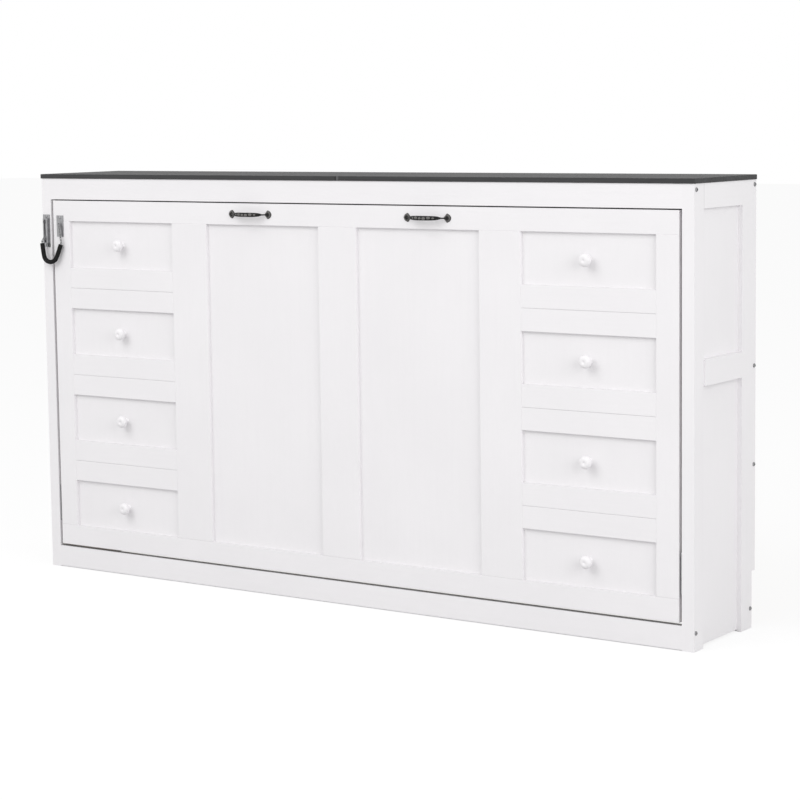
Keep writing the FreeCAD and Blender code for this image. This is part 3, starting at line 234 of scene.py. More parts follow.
class PullSettings(bpy.types.PropertyGroup):
    """The two iron pulls."""

    span: bpy.props.FloatProperty(
        name="Span",
        description="Between the middles of a pull's two leaves",
        unit="LENGTH",
        default=0.121,
    )
    foot: bpy.props.FloatProperty(
        name="Foot",
        description="How far the bow's ends stand off the board",
        unit="LENGTH",
        default=0.0025,
    )
    rise: bpy.props.FloatProperty(
        name="Rise",
        description="How far the bow arches out from its ends",
        unit="LENGTH",
        default=0.021,
    )
    neck: bpy.props.FloatProperty(
        name="Neck",
        description="Across the bow at its thin ends",
        unit="LENGTH",
        default=0.0036,
    )
    swell: bpy.props.FloatProperty(
        name="Swell",
        description="Height of the bow at its middle",
        unit="LENGTH",
        default=0.0115,
    )
    depth: bpy.props.FloatProperty(
        name="Depth",
        description="Depth of the bow at its middle",
        unit="LENGTH",
        default=0.009,
    )
    leaf: bpy.props.FloatProperty(
        name="Leaf",
        description="Across the leaf at each end",
        unit="LENGTH",
        default=0.022,
    )
    channel: bpy.props.FloatProperty(
        name="Channel",
        description="Depth of the channel that holds the beads",
        unit="LENGTH",
        default=0.0012,
    )


class ScrewSettings(bpy.types.PropertyGroup):
    """The small screws."""

    head: bpy.props.FloatProperty(
        name="Head",
        description="Across a screw's head",
        unit="LENGTH",
        default=0.0074,
    )
    recess: bpy.props.FloatProperty(
        name="Recess",
        description="Across the cross in a screw's head",
        unit="LENGTH",
        default=0.0042,
    )


SETTINGS = {
    "finishes": FinishSettings,
    "stage": StageSettings,
    "chain": ChainSettings,
    "pulls": PullSettings,
    "screws": ScrewSettings,
}


def settings(name):
    """Give one group of settings of the scene."""
    return getattr(bpy.context.scene, f"wall_bed_{name}")


def wire(tree, kind, inputs=None, **options):
    """Add a shader node, set its options, and set or link its inputs."""
    made = tree.nodes.new(f"ShaderNode{kind}")
    for option, value in options.items():
        setattr(made, option, value)
    for socket, value in (inputs or {}).items():
        if isinstance(value, bpy.types.NodeSocket):
            tree.links.new(value, made.inputs[socket])
        else:
            made.inputs[socket].default_value = value
    return made


def reckon(tree, operation, *values):
    """Give the result of a sum, a comparison or the like on values."""
    return wire(tree, "Math", dict(enumerate(values)), operation=operation).outputs[0]


def new_finish(name, roughness, metallic=0.0, specular=0.5):
    """Start a finish: a material with one plain shader."""
    material = bpy.data.materials.new(name)
    material.use_nodes = True
    shader = material.node_tree.nodes["Principled BSDF"]
    shader.inputs["Roughness"].default_value = roughness
    shader.inputs["Metallic"].default_value = metallic
    shader.inputs["Specular IOR Level"].default_value = specular
    return material, material.node_tree, shader


def object_place(tree, scale=(1, 1, 1), shift=(0, 0, 0)):
    """Give the place on the object, stretched and shifted for one pattern."""
    place = wire(tree, "TexCoord").outputs["Object"]
    return wire(tree, "Mapping", {"Vector": place, "Location": shift, "Scale": scale}).outputs["Vector"]


GRAIN_AXIS = {"across": 0, "deep": 1, "upright": 2}


def drawn_out(grain, along, across):
    """Give the scales of a pattern that is drawn out along a grain, in cells per metre."""
    scales = [across, across, across]
    scales[GRAIN_AXIS[grain]] = along
    return scales


def noise(tree, place, scale=1.0, detail=2.0, rough=0.5, warp=0.0):
    """Give soft noise at a number of cells per metre."""
    inputs = {"Vector": place, "Scale": scale, "Detail": detail, "Roughness": rough, "Distortion": warp}
    return wire(tree, "TexNoise", inputs).outputs["Fac"]


def spread(tree, value, low=0.0, high=1.0, start=0.3, end=0.7):
    """Map a noise value to a range."""
    inputs = {"Value": value, "From Min": start, "From Max": end, "To Min": low, "To Max": high}
    return wire(tree, "MapRange", inputs).outputs["Result"]


# Sockets of the Mix node for colours, which share their names with those for other kinds of value
MIX_SHARE = 0
MIX_FIRST = 6
MIX_SECOND = 7
MIX_RESULT = 2


def blend_colour(tree, share, first, second):
    """Mix two colours by a share."""
    mix = wire(tree, "Mix", {MIX_SHARE: share}, data_type="RGBA")
    for socket, colour in ((MIX_FIRST, first), (MIX_SECOND, second)):
        if isinstance(colour, bpy.types.NodeSocket):
            tree.links.new(colour, mix.inputs[socket])
        else:
            mix.inputs[socket].default_value = (*colour, 1.0)
    return mix.outputs[MIX_RESULT]


def shade(colour, factor):
    """Give a colour made lighter or darker."""
    return tuple(min(1.0, part * factor) for part in colour)


def cloudy(tree, value, colour, darker, lighter):
    """Give a colour that drifts between two shades with a noise value."""
    return blend_colour(tree, spread(tree, value), shade(colour, darker), shade(colour, lighter))


def dent(tree, height, distance, under=None):
    """Turn a height into a bumped normal, over another bump if one is given."""
    inputs = {"Height": height, "Distance": distance, "Strength": 1.0}
    if under:
        inputs["Normal"] = under
    return wire(tree, "Bump", inputs).outputs["Normal"]


def on_axis(tree, vector, axis):
    """Give one axis of a vector."""
    return wire(tree, "SeparateXYZ", {"Vector": vector}).outputs[axis]


def near(tree, axis, middle, reach):
    """Give 1 where an axis of the object is within reach of a place, and 0 elsewhere."""
    return reckon(tree, "COMPARE", on_axis(tree, object_place(tree), axis), middle, reach)


def connect(tree, shader, colour, roughness, normal):
    """Link a finish's three patterns to its shader."""
    for socket, output in (("Base Color", colour), ("Roughness", roughness), ("Normal", normal)):
        tree.links.new(output, shader.inputs[socket])


# Wood fibre under paint or planed bare, in cells per metre
FIBRE_ALONG = 5
FIBRE_ACROSS = 140

# How far a pattern moves from one board to the next, so that no two boards look alike
PAINT_STEP = (0.37, 0.61, 0.83)
PINE_STEP = (1.3, 0.7, 2.1)

# The base rail's top face shows only in the gap under the front, and above this height in metres it is a
# flat grey, painted shade that darkens that gap
GAP_SHADE_ABOVE = 0.0608

# How wide the hairline is where a side's top rail meets the front post
JOINT_LINE = 0.0016

# The rails under the recesses of the front get painted shade on their ledges, on faces that look up at
# least this much
LEDGE_SHADE_BOARDS = ["drawer_rails", "front_bottom_rail"]
LEDGE_SHADE_FACING = 0.7


def white_paint(name, grain, turn, gap_shade_above=None, joint_at=None, shade_ledges=False):
    """Sprayed white paint on a board: faint grain under the film, orange peel, and a slight cloudiness.

    Above a height, if one is given, the board is a flat grey, painted shade for a gap. At a depth, if one
    is given, the paint has a hairline, where two boards meet. With shade_ledges, the board's upward ledges
    get painted shade.
    """
    colour = settings("finishes").white
    material, tree, shader = new_finish(name, roughness=0.42, specular=0.3)
    shift = [turn * step for step in PAINT_STEP]
    drawn = object_place(tree, drawn_out(grain, FIBRE_ALONG, FIBRE_ACROSS), shift)
    fibre = noise(tree, drawn, detail=5.0, rough=0.6, warp=0.4)
    place = object_place(tree, shift=shift)
    peel = noise(tree, place, scale=620.0)
    cloud = noise(tree, place, scale=4.0, detail=3.0)
    body = cloudy(tree, cloud, colour, darker=0.985, lighter=1.01)
    fibre_share = spread(tree, fibre, high=0.35, start=0.45, end=0.8)
    body = blend_colour(tree, fibre_share, body, shade(colour, 0.965))
    # Painted shade: above the given height the board is a flat grey, which darkens the gap under the front
    if gap_shade_above:
        height = on_axis(tree, object_place(tree), "Z")
        gap_shaded = reckon(tree, "GREATER_THAN", height, gap_shade_above)
        body = blend_colour(tree, gap_shaded, body, settings("finishes").gap_shade)
    if joint_at:
        joint = near(tree, "Y", joint_at, JOINT_LINE)
        body = blend_colour(tree, joint, body, shade(colour, 0.75))
    # Painted shade: faces that look up are greyer, to dim the ledges that the lamps light from above
    if shade_ledges:
        facing = on_axis(tree, wire(tree, "TexCoord").outputs["Normal"], "Z")
        ledge = reckon(tree, "GREATER_THAN", facing, LEDGE_SHADE_FACING)
        body = blend_colour(tree, ledge, body, shade(colour, 0.87))
    bump = dent(tree, fibre, distance=0.00025)
    bump = dent(tree, peel, distance=0.00004, under=bump)
    connect(tree, shader, body, spread(tree, peel, low=0.36, high=0.48), bump)
    return material


# The seam between the halves of the top: half its dark line, and half the strip of painted highlight
# beside it, along the eased edge
SEAM_LINE = 0.0016
SEAM_HIGHLIGHT = 0.0039


def grey_paint():
    """Satin dark grey paint on the top panels: the grain shows, and a strip of painted highlight runs
    along one side of the seam.
    """
    colour = settings("finishes").grey
    material, tree, shader = new_finish("grey top paint", roughness=0.55, specular=0.25)
    drawn = object_place(tree, drawn_out("across", FIBRE_ALONG, FIBRE_ACROSS))
    fibre = noise(tree, drawn, detail=6.0, rough=0.62, warp=0.8)
    streak = noise(tree, object_place(tree, drawn_out("across", along=1.2, across=26)), detail=3.0)
    peel = noise(tree, object_place(tree), scale=520.0)
    body = cloudy(tree, streak, colour, darker=0.88, lighter=1.15)
    fibre_share = spread(tree, fibre, high=0.7, start=0.5, end=0.8)
    body = blend_colour(tree, fibre_share, body, shade(colour, 0.6))
    # Painted highlight: a paler strip beside the seam, where its eased edge would catch the light
    pale_share = near(tree, "X", SEAM_LINE + SEAM_HIGHLIGHT, SEAM_HIGHLIGHT)
    body = blend_colour(tree, pale_share, body, shade(colour, 2.0))
    seam = near(tree, "X", 0.0, SEAM_LINE)
    body = blend_colour(tree, seam, body, shade(colour, 0.2))
    bump = dent(tree, fibre, distance=0.0004)
    bump = dent(tree, peel, distance=0.00005, under=bump)
    connect(tree, shader, body, spread(tree, fibre, low=0.50, high=0.64), bump)
    return material


# How closely the growth rings of the pine follow each other
PINE_RINGS = 46.0


def bare_pine(name, grain, turn):
    """Planed pine: growth rings drawn out along the board, and fine fibre."""
    finishes = settings("finishes")
    material, tree, shader = new_finish(name, roughness=0.5)
    shift = [turn * step for step in PINE_STEP]
    bend_place = object_place(tree, drawn_out(grain, along=0.9, across=14), shift)
    bend = noise(tree, bend_place, scale=1.6, detail=3.0, warp=0.6)
    wave = reckon(tree, "SINE", reckon(tree, "MULTIPLY", bend, PINE_RINGS))
    ring = spread(tree, wave, start=-0.6, end=1.0)
    drawn = object_place(tree, drawn_out(grain, FIBRE_ALONG, FIBRE_ACROSS), shift)
    fibre = noise(tree, drawn, scale=2.0, detail=6.0, rough=0.6)
    body = blend_colour(tree, ring, finishes.pine, finishes.pine_ring)
    fibre_share = spread(tree, fibre, high=0.5, start=0.4, end=0.75)
    body = blend_colour(tree, fibre_share, body, shade(finishes.pine_ring, 0.8))
    roughness = spread(tree, ring, low=0.55, high=0.42, start=0.0, end=1.0)
    connect(tree, shader, body, roughness, dent(tree, fibre, distance=0.0003))
    return material


def bright_steel():
    """Zinc-plated steel: a cloudy sheen and faint rolling lines."""
    colour = settings("finishes").steel
    material, tree, shader = new_finish("bright steel", roughness=0.32, metallic=1.0)
    cloud = noise(tree, object_place(tree), scale=90.0, detail=4.0, rough=0.6)
    line = noise(tree, object_place(tree, drawn_out("upright", along=60, across=1800)))
    body = cloudy(tree, cloud, colour, darker=0.85, lighter=1.12)
    roughness = spread(tree, cloud, low=0.26, high=0.42)
    connect(tree, shader, body, roughness, dent(tree, line, distance=0.00002))
    return material


def dull_steel():
    """Dark zinc on the bolts and the chain: cloudy, with fine turning marks."""
    colour = settings("finishes").bolt
    material, tree, shader = new_finish("dull steel", roughness=0.45, metallic=1.0)
    cloud = noise(tree, object_place(tree), scale=220.0, detail=4.0, rough=0.6)
    mark = noise(tree, object_place(tree, drawn_out("across", along=120, across=1900)))
    body = cloudy(tree, cloud, colour, darker=0.7, lighter=1.25)
    roughness = spread(tree, cloud, low=0.38, high=0.55)
    connect(tree, shader, body, roughness, dent(tree, mark, distance=0.00003))
    return material


def black_iron():
    """Waxed black iron: hammered all over, and greyer where the wax is worn off, which on the beads and
    leaves is also painted highlight.
    """
    colour = settings("finishes").iron
    material, tree, shader = new_finish("black iron", roughness=0.36, specular=0.2)
    place = object_place(tree)
    hammer = noise(tree, place, scale=330.0, detail=1.0)
    speck = noise(tree, place, scale=1500.0, detail=3.0, rough=0.6)
    # The paler share is wax worn off and painted highlight, up to 30 times the iron's colour
    pale_share = wire(tree, "Attribute", attribute_name="pale_share").outputs["Fac"]
    patchy = reckon(tree, "MULTIPLY", pale_share, spread(tree, speck, low=0.55))
    body = cloudy(tree, speck, colour, darker=1.0, lighter=2.2)
    body = blend_colour(tree, patchy, body, shade(colour, 30.0))
    bump = dent(tree, hammer, distance=0.0006)
    bump = dent(tree, speck, distance=0.00006, under=bump)
    connect(tree, shader, body, spread(tree, speck, low=0.28, high=0.46), bump)
    return material


def black_steel():
    """Black powder coat with a fine pebble."""
    colour = settings("finishes").black
    material, tree, shader = new_finish("black steel", roughness=0.45)
    pebble = noise(tree, object_place(tree), scale=900.0)
    cloud = noise(tree, object_place(tree), scale=30.0, detail=3.0)
    body = cloudy(tree, cloud, colour, darker=0.8, lighter=1.6)
    roughness = spread(tree, pebble, low=0.38, high=0.55)
    connect(tree, shader, body, roughness, dent(tree, pebble, distance=0.00008))
    return material


def black_rubber():
    """Matt black rubber, with dust in places."""
    colour = settings("finishes").rubber
    material, tree, shader = new_finish("black rubber", roughness=0.6, specular=0.15)
    grit = noise(tree, object_place(tree), scale=1400.0, detail=3.0)
    dust = noise(tree, object_place(tree), scale=60.0, detail=4.0, rough=0.6)
    body = blend_colour(tree, spread(tree, dust, start=0.5, end=0.8), colour, shade(colour, 2.6))
    roughness = spread(tree, dust, low=0.5, high=0.7)
    connect(tree, shader, body, roughness, dent(tree, grit, distance=0.00005))
    return material


def dress(material, nodes):
    """Give CAD nodes a finish."""
    for name in nodes:
        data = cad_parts[name].data
        data.materials.clear()
        data.materials.append(material)


def each_board(groups):
    """List the boards of some groups, each with its number and its grain."""
    boards = [(grain, board) for grain, names in groups.items() for board in names]
    return [(number, grain, board) for number, (grain, board) in enumerate(boards, 1)]


class WALLBED_OT_painted_boards(bpy.types.Operator):
    """Paint the boards of the cabinet and the front white"""

    bl_idname = "wallbed.painted_boards"
    bl_label = "Painted boards"

    def execute(self, context):
        for turn, grain, board in each_board(PAINTED_BOARDS):
            # The base rail's top face gets painted gap shade, and the rails under the recesses get painted
            # shade on their ledges
            paint = white_paint(
                f"white paint {board}",
                grain,
                turn,
                gap_shade_above=GAP_SHADE_ABOVE if board == "base_rail" else None,
                joint_at=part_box(board)[0][1] if board.startswith("side_top_rail") else None,
                shade_ledges=board in LEDGE_SHADE_BOARDS,
            )
            dress(paint, [board])
        dress(white_paint("white paint knobs", "deep", 0), ["drawer_knobs"])
        return {"FINISHED"}


class WALLBED_OT_grey_top(bpy.types.Operator):
    """Paint the two halves of the top dark grey"""

    bl_idname = "wallbed.grey_top"
    bl_label = "Grey top"

    def execute(self, context):
        dress(grey_paint(), ["top_panel_left", "top_panel_right"])
        return {"FINISHED"}


class WALLBED_OT_bare_pine(bpy.types.Operator):
    """Finish the slats and the hidden rails as bare pine"""

    bl_idname = "wallbed.bare_pine"
    bl_label = "Bare pine"

    def execute(self, context):
        for turn, grain, board in each_board(PINE_BOARDS):
            dress(bare_pine(f"bare pine {board}", grain, turn), [board])
        return {"FINISHED"}


class WALLBED_OT_fittings(bpy.types.Operator):
    """Finish bolts, plates, chain, struts, legs and feet"""

    bl_idname = "wallbed.fittings"
    bl_label = "Steel and rubber fittings"

    def execute(self, context):
        dress(bright_steel(), BRIGHT_STEEL)
        dress(dull_steel(), DULL_STEEL)
        # Black steel on the legs and struts, and painted shade on the stop rail
        dress(black_steel(), BLACK_STEEL_AND_GAP_SHADE)
        dress(black_rubber(), BLACK_RUBBER)
        return {"FINISHED"}


# The sleeve's route from the slider, down and round, and up to the anchor plate, in metres
SLEEVE_ROUTE = [
    (-1.0090, -0.0165, 0.9203),
    (-1.0050, -0.0160, 0.8852),
    (-1.0004, -0.0154, 0.8753),
    (-0.9923, -0.0146, 0.8694),
    (-0.9815, -0.0137, 0.8675),
    (-0.9700, -0.0128, 0.8708),
    (-0.9603, -0.0118, 0.8795),
    (-0.94655, -0.00865, 0.9168),
]

# How smooth the sleeve is: the order of its curve, and its fineness along and round
SLEEVE_ORDER = 3
SLEEVE_ALONG = 24
SLEEVE_ROUND = 6


class WALLBED_OT_chain_sleeve(bpy.types.Operator):
    """Lay the black sleeve over the slack of the chain guard"""

    bl_idname = "wallbed.chain_sleeve"
    bl_label = "Chain sleeve"

    def execute(self, context):
        sizes = settings("chain")
        line = bpy.data.curves.new("chain_sleeve_line", "CURVE")
        line.dimensions = "3D"
        spline = line.splines.new("NURBS")
        spline.points.add(len(SLEEVE_ROUTE) - 1)
        for point, spot in zip(spline.points, SLEEVE_ROUTE):
            point.co = (*spot, 1.0)
        spline.order_u = SLEEVE_ORDER
        spline.use_endpoint_u = True
        line.resolution_u = SLEEVE_ALONG
        line.bevel_depth = sizes.diameter / 2
        line.bevel_resolution = SLEEVE_ROUND
        line.use_fill_caps = True
        sleeve = bpy.data.objects.new("chain_sleeve_soft", line)
        context.scene.collection.objects.link(sleeve)
        line.materials.append(black_rubber())
        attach(sleeve, "chain")
        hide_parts("chain_sleeve")
        return {"FINISHED"}


# Points that are closer than this, in metres, are merged
MERGE = 0.000001

# How a disc is turned to face forwards, or along the width
FACING_FORWARDS = (math.pi / 2, 0, 0)
FACING_SIDEWAYS = (0, math.pi / 2, 0)


def only(*pieces):
    """Select some pieces and nothing else, the first of them active."""
    bpy.ops.object.select_all(action="DESELECT")
    for piece in pieces:
        piece.select_set(True)
    bpy.context.view_layer.objects.active = pieces[0]


def pick(piece, kind, test):
    """In edit mode, select a piece's faces or points that pass a test, and nothing else."""
    bpy.ops.mesh.select_mode(type=kind)
    bpy.ops.mesh.select_all(action="DESELECT")
    mesh = bmesh.from_edit_mesh(piece.data)
    mesh.normal_update()
    for part in (mesh.faces if kind == "FACE" else mesh.verts):
        part.select_set(test(part))
    mesh.select_flush_mode()
    bmesh.update_edit_mesh(piece.data)


def start_disc(sides, radius, turn, place=(0, 0, 0)):
    """Start a piece as a filled disc, and open it in edit mode with all of it selected."""
    bpy.ops.object.select_all(action="DESELECT")
    bpy.ops.mesh.primitive_circle_add(
        vertices=sides, radius=radius, fill_type="NGON", location=place, rotation=turn)
    disc = bpy.context.object
    bpy.ops.object.transform_apply(location=True, rotation=True, scale=True)
    bpy.ops.object.mode_set(mode="EDIT")
    bpy.ops.mesh.select_all(action="SELECT")
    return disc


def grow(step, centre, widen):
    """Extrude the selected end by a step and resize it about a point."""
    bpy.ops.mesh.extrude_region_move(TRANSFORM_OT_translate={"value": step})
    bpy.ops.transform.resize(value=widen, center_override=centre)


def dome(steps):
    """Raise the selected disc forwards, by the height of each step and its share of the ring before it."""
    for height, share in steps:
        grow((0, -height, 0), (0, 0, 0), (share, 1, share))


def swing(angle, centre):
    """Turn what is selected about the upright through a point, anticlockwise seen from above."""
    bpy.ops.transform.rotate(value=-angle, orient_axis="Z", center_override=centre)


def close_up(piece):
    """Leave edit mode with the points merged and every face turned outwards."""
    bpy.ops.mesh.select_all(action="SELECT")
    bpy.ops.mesh.remove_doubles(threshold=MERGE)
    bpy.ops.mesh.normals_make_consistent(inside=False)
    bpy.ops.object.mode_set(mode="OBJECT")
    return piece


def copy_of(piece):
    """Give a copy of a piece, with a mesh of its own."""
    only(piece)
    bpy.ops.object.duplicate()
    return bpy.context.object


def settle(piece, body, material):
    """Finish a new piece: its place goes into its mesh, and it gets its finish and its body."""
    only(piece)
    bpy.ops.object.transform_apply(location=True, rotation=True, scale=True)
    piece.data.materials.clear()
    piece.data.materials.append(material)
    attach(piece, body)


def rub_and_highlight(piece, share_at):
    """Note on a piece's points how much paler its finish is, from 0 to 1: wax worn off, and painted
    highlight.
    """
    pale_share = piece.data.attributes.new("pale_share", "FLOAT", "POINT")
    pale_share.data.foreach_set("value", [share_at(point.co) for point in piece.data.vertices])


# A pull's bow: its rings and the sides of a ring
BOW_RINGS = 36
BOW_SIDES = 24

# Where the bow's swelling and the channel on it end, as shares of half the span
BOW_NECK = 0.74
BOW_CHANNEL = 0.56

# How wide the channel's rim is, and how far a face in the channel may look up or down
CHANNEL_RIM = 0.0004
CHANNEL_FACING = 0.66

# A bead: its radius, its stretch, where its back is cut off, and its faces round and from end to end
BEAD_RADIUS = 0.0034
BEAD_STRETCH = (1.42, 0.58, 0.94)
BEAD_BACK = 0.0011
BEAD_SEGMENTS = 20
BEAD_RINGS = 12

# The beads on a bow: how far each is from its middle and above it, in metres, and its share of full size
BEADS = [
    (-0.0290, 0.0002, 0.72),
    (-0.0180, 0.0006, 1.08),
    (-0.0063, -0.0004, 0.92),
    (0.0052, -0.0007, 1.10),
    (0.0178, 0.0007, 1.12),
    (0.0292, 0.0000, 0.75),
]

# A leaf starts as a disc, whose radius is a share of the leaf's width
LEAF_SIDES = 48
LEAF_DISC = 0.42

# How far the rim of a leaf is drawn out, by the angle in degrees from its outer tip
LEAF_LOBES = [
    (0, 0.0010),
    (100, 0.0020),
    (-100, 0.0020),
    (50, 0.0006),
    (-50, 0.0006),
    (180, 0.0024),
]

# How much of the rim a lobe takes hold of, as an angle, and how far its pull spreads
LOBE_GRIP = math.radians(4)
LOBE_SPREAD = 0.0065

# How a leaf domes up from its rim: the height of each step and its share of the ring before it
LEAF_STEPS = [(0.0010, 1.0), (0.0012, 0.88), (0.0011, 0.76), (0.0006, 0.62), (0.0002, 0.5)]

# How much paler a leaf's finish is, as wax worn off and painted highlight, and between which heights above
# its rim
LEAF_PALE = 0.75
LEAF_PALE_FROM = 0.0015
LEAF_PALE_TO = 0.0036

# Edges of a pull that turn less than this look smooth
PULL_SMOOTH = math.radians(38)


def bow_place(share):
    """Give a point on the middle line of a bow, by a share from -1 at its left end to 1 at its right."""
    sizes = settings("pulls")
    return Vector((share * sizes.span / 2, -sizes.foot - sizes.rise * (1 - share * share), 0))


def bow_heading(share):
    """Give the way that the bow runs at a share, seen from above."""
    sizes = settings("pulls")
    return math.atan2(2 * share * sizes.rise, sizes.span / 2)


def bow_halves(share):
    """Give half the depth and half the height of the bow at a share."""
    sizes = settings("pulls")
    fullness = math.sqrt(max(0.0, 1 - (share / BOW_NECK) ** 4))
    deep = sizes.neck + (sizes.depth - sizes.neck) * fullness
    tall = sizes.neck + (sizes.swell - sizes.neck) * fullness
    return deep / 2, tall / 2


def pull_bow():
    """The bow: an oval drawn ring by ring along the arch, with a channel sunk along its front."""
    sizes = settings("pulls")
    start = bow_place(-1)
    bow = start_disc(BOW_SIDES, sizes.neck / 2, FACING_SIDEWAYS, start)
    swing(bow_heading(-1), start)
    before = -1
    for ring in range(1, BOW_RINGS + 1):
        share = 2 * ring / BOW_RINGS - 1
        spot = bow_place(share)
        deep, tall = (now / old for now, old in zip(bow_halves(share), bow_halves(before)))
        grow(spot - bow_place(before), spot, (deep, deep, tall))
        swing(bow_heading(share) - bow_heading(before), spot)
        before = share
    bpy.ops.mesh.select_all(action="SELECT")
    bpy.ops.mesh.normals_make_consistent(inside=False)
    reach = BOW_CHANNEL * sizes.span / 2

    def in_channel(face):
        """Tell whether a face is on the front of the bow, and near enough to its middle."""
        in_front = face.normal.y < 0 and abs(face.normal.z) < CHANNEL_FACING
        return in_front and abs(face.calc_center_median().x) < reach

    pick(bow, "FACE", in_channel)
    bpy.ops.mesh.inset(thickness=CHANNEL_RIM, depth=0)
    bpy.ops.transform.translate(value=(0, sizes.channel, 0))
    return close_up(bow)


def pull_bead():
    """One bead: a flattened pebble cut off at its back, and paler all over, as wax worn off and painted
    highlight.
    """
    bpy.ops.object.select_all(action="DESELECT")
    bpy.ops.mesh.primitive_uv_sphere_add(segments=BEAD_SEGMENTS, ring_count=BEAD_RINGS, radius=BEAD_RADIUS)
    bead = bpy.context.object
    bpy.ops.object.mode_set(mode="EDIT")
    bpy.ops.mesh.select_all(action="SELECT")
    bpy.ops.transform.resize(value=BEAD_STRETCH)
    bpy.ops.mesh.bisect(plane_co=(0, BEAD_BACK, 0), plane_no=(0, 1, 0), use_fill=True, clear_outer=True)
    close_up(bead)
    rub_and_highlight(bead, lambda place: 1.0)
    return bead


def pull_beads():
    """The row of beads, each set in the channel of the bow."""
    sizes = settings("pulls")
    first = pull_bead()
    beads = [first] + [copy_of(first) for _ in BEADS[1:]]
    for bead, (along, above, full) in zip(beads, BEADS):
        share = along / (sizes.span / 2)
        heading = bow_heading(share)
        out = bow_halves(share)[0] - sizes.channel
        front = Vector((math.sin(heading), -math.cos(heading), 0))
        bead.location = bow_place(share) + front * out + Vector((0, 0, above))
        bead.rotation_euler = (0, 0, heading)
        bead.scale = (full, full, full)
    return beads


def pull_leaf():
    """The leaf at a bow's left end: lobes drawn out of a disc, domed up to the neck."""
    leaf = start_disc(LEAF_SIDES, LEAF_DISC * settings("pulls").leaf, FACING_FORWARDS)
    for degrees, draw in LEAF_LOBES:
        angle = math.radians(degrees)
        outward = Vector((-math.cos(angle), 0, math.sin(angle)))
        pick(leaf, "VERT", lambda point: point.co.normalized().dot(outward) > math.cos(LOBE_GRIP))
        bpy.ops.transform.translate(
            value=outward * draw,
            use_proportional_edit=True,
            proportional_edit_falloff="SMOOTH",
            proportional_size=LOBE_SPREAD,
        )
    bpy.ops.mesh.select_mode(type="FACE")
    bpy.ops.mesh.select_all(action="SELECT")
    dome(LEAF_STEPS)
    close_up(leaf)
    rub_and_highlight(leaf, lambda place: LEAF_PALE if LEAF_PALE_FROM < -place.y < LEAF_PALE_TO else 0.0)
    return leaf


class WALLBED_OT_iron_pulls(bpy.types.Operator):
    """Model the two black iron pulls on the top rail of the front"""

    bl_idname = "wallbed.iron_pulls"
    bl_label = "Iron pulls"

    def execute(self, context):
        half = settings("pulls").span / 2
        bow = pull_bow()
        beads = pull_beads()
        left_leaf = pull_leaf()
        right_leaf = copy_of(left_leaf)
        left_leaf.location = (-half, 0, 0)
        right_leaf.location = (half, 0, 0)
        right_leaf.rotation_euler = (0, math.pi, 0)
        only(bow, *beads, left_leaf, right_leaf)
        bpy.ops.object.join()
        bpy.ops.object.shade_smooth_by_angle(angle=PULL_SMOOTH)
        finish = black_iron()
        other = copy_of(bow)
        for pull, side in ((bow, "left"), (other, "right")):
            low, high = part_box(f"pull_{side}")
            pull.location = ((low[0] + high[0]) / 2, 0, (low[2] + high[2]) / 2)
            pull.name = f"iron_pull_{side}"
            settle(pull, "bed", finish)
            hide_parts(f"pull_{side}")
        return {"FINISHED"}


# A screw's head: its sides, and the height of each step of its dome with its share of the ring before it
SCREW_SIDES = 32
SCREW_STEPS = [(0.0006, 1.0), (0.0007, 0.94), (0.0006, 0.84), (0.0003, 0.66), (0.0001, 0.5)]

# The blade that cuts the cross: how far its middle is in front of the plate, its depth and its thickness
BLADE_OUT = 0.0024
BLADE_DEPTH = 0.0026
BLADE_THICK = 0.0008

# How far each screw is turned on from the one before it
SCREW_TURN = 0.5

# Edges of a screw that turn less than this look smooth
SCREW_SMOOTH = math.radians(35)

# Places of the small screws: the body that carries one, the foot of its head, and the way that it faces
SCREWS = [
    ("cabinet", (-1.005, -0.0016, 0.9145), 0),
    ("cabinet", (-1.005, -0.0016, 0.9945), 0),
    ("bed", (-0.954, -0.002, 0.9455), 0),
    ("bed", (-0.954, -0.002, 0.9915), 0),
    ("cabinet", (-0.9848, 0.026, 0.142), math.pi / 2),
    ("cabinet", (-0.9848, 0.026, 0.226), math.pi / 2),
    ("cabinet", (0.9848, 0.026, 0.142), -math.pi / 2),
    ("cabinet", (0.9848, 0.026, 0.226), -math.pi / 2),
]


def small_screw():
    """A screw's domed head, facing forwards, with a cross sunk into it."""
    sizes = settings("screws")
    screw = start_disc(SCREW_SIDES, sizes.head / 2, FACING_FORWARDS)
    dome(SCREW_STEPS)
    close_up(screw)
    for turn in (0, math.pi / 2):
        bpy.ops.object.select_all(action="DESELECT")
        bpy.ops.mesh.primitive_cube_add(size=1, location=(0, -BLADE_OUT, 0), rotation=(0, turn, 0))
        blade = bpy.context.object
        blade.scale = (sizes.recess, BLADE_DEPTH, BLADE_THICK)
        bpy.ops.object.transform_apply(location=True, rotation=True, scale=True)
        only(screw)
        cut = screw.modifiers.new("cross", "BOOLEAN")
        cut.operation = "DIFFERENCE"
        cut.object = blade
        bpy.ops.object.modifier_apply(modifier=cut.name)
        bpy.data.objects.remove(blade)
    only(screw)
    bpy.ops.object.shade_smooth_by_angle(angle=SCREW_SMOOTH)
    return screw


class WALLBED_OT_screws(bpy.types.Operator):
    """Model a cross-head screw and set copies of it in the chain's plates and the pivot plates"""

    bl_idname = "wallbed.screws"
    bl_label = "Small screws"

    def execute(self, context):
        finish = bright_steel()
        screw = small_screw()
        heads = [screw] + [copy_of(screw) for _ in SCREWS[1:]]
        for number, (head, (body, place, facing)) in enumerate(zip(heads, SCREWS), 1):
            head.location = place
            head.rotation_euler = (0, SCREW_TURN * number, facing)
            head.name = f"small_screw_{number}"
            settle(head, body, finish)
        return {"FINISHED"}


# How much of the light the floor throws back on the object, and how wide it is
FLOOR_GREY = 0.55
FLOOR_SIZE = 60.0

# The camera's sensor in millimetres, and how far it sees in metres
SENSOR = 36.0
SIGHT = 100.0

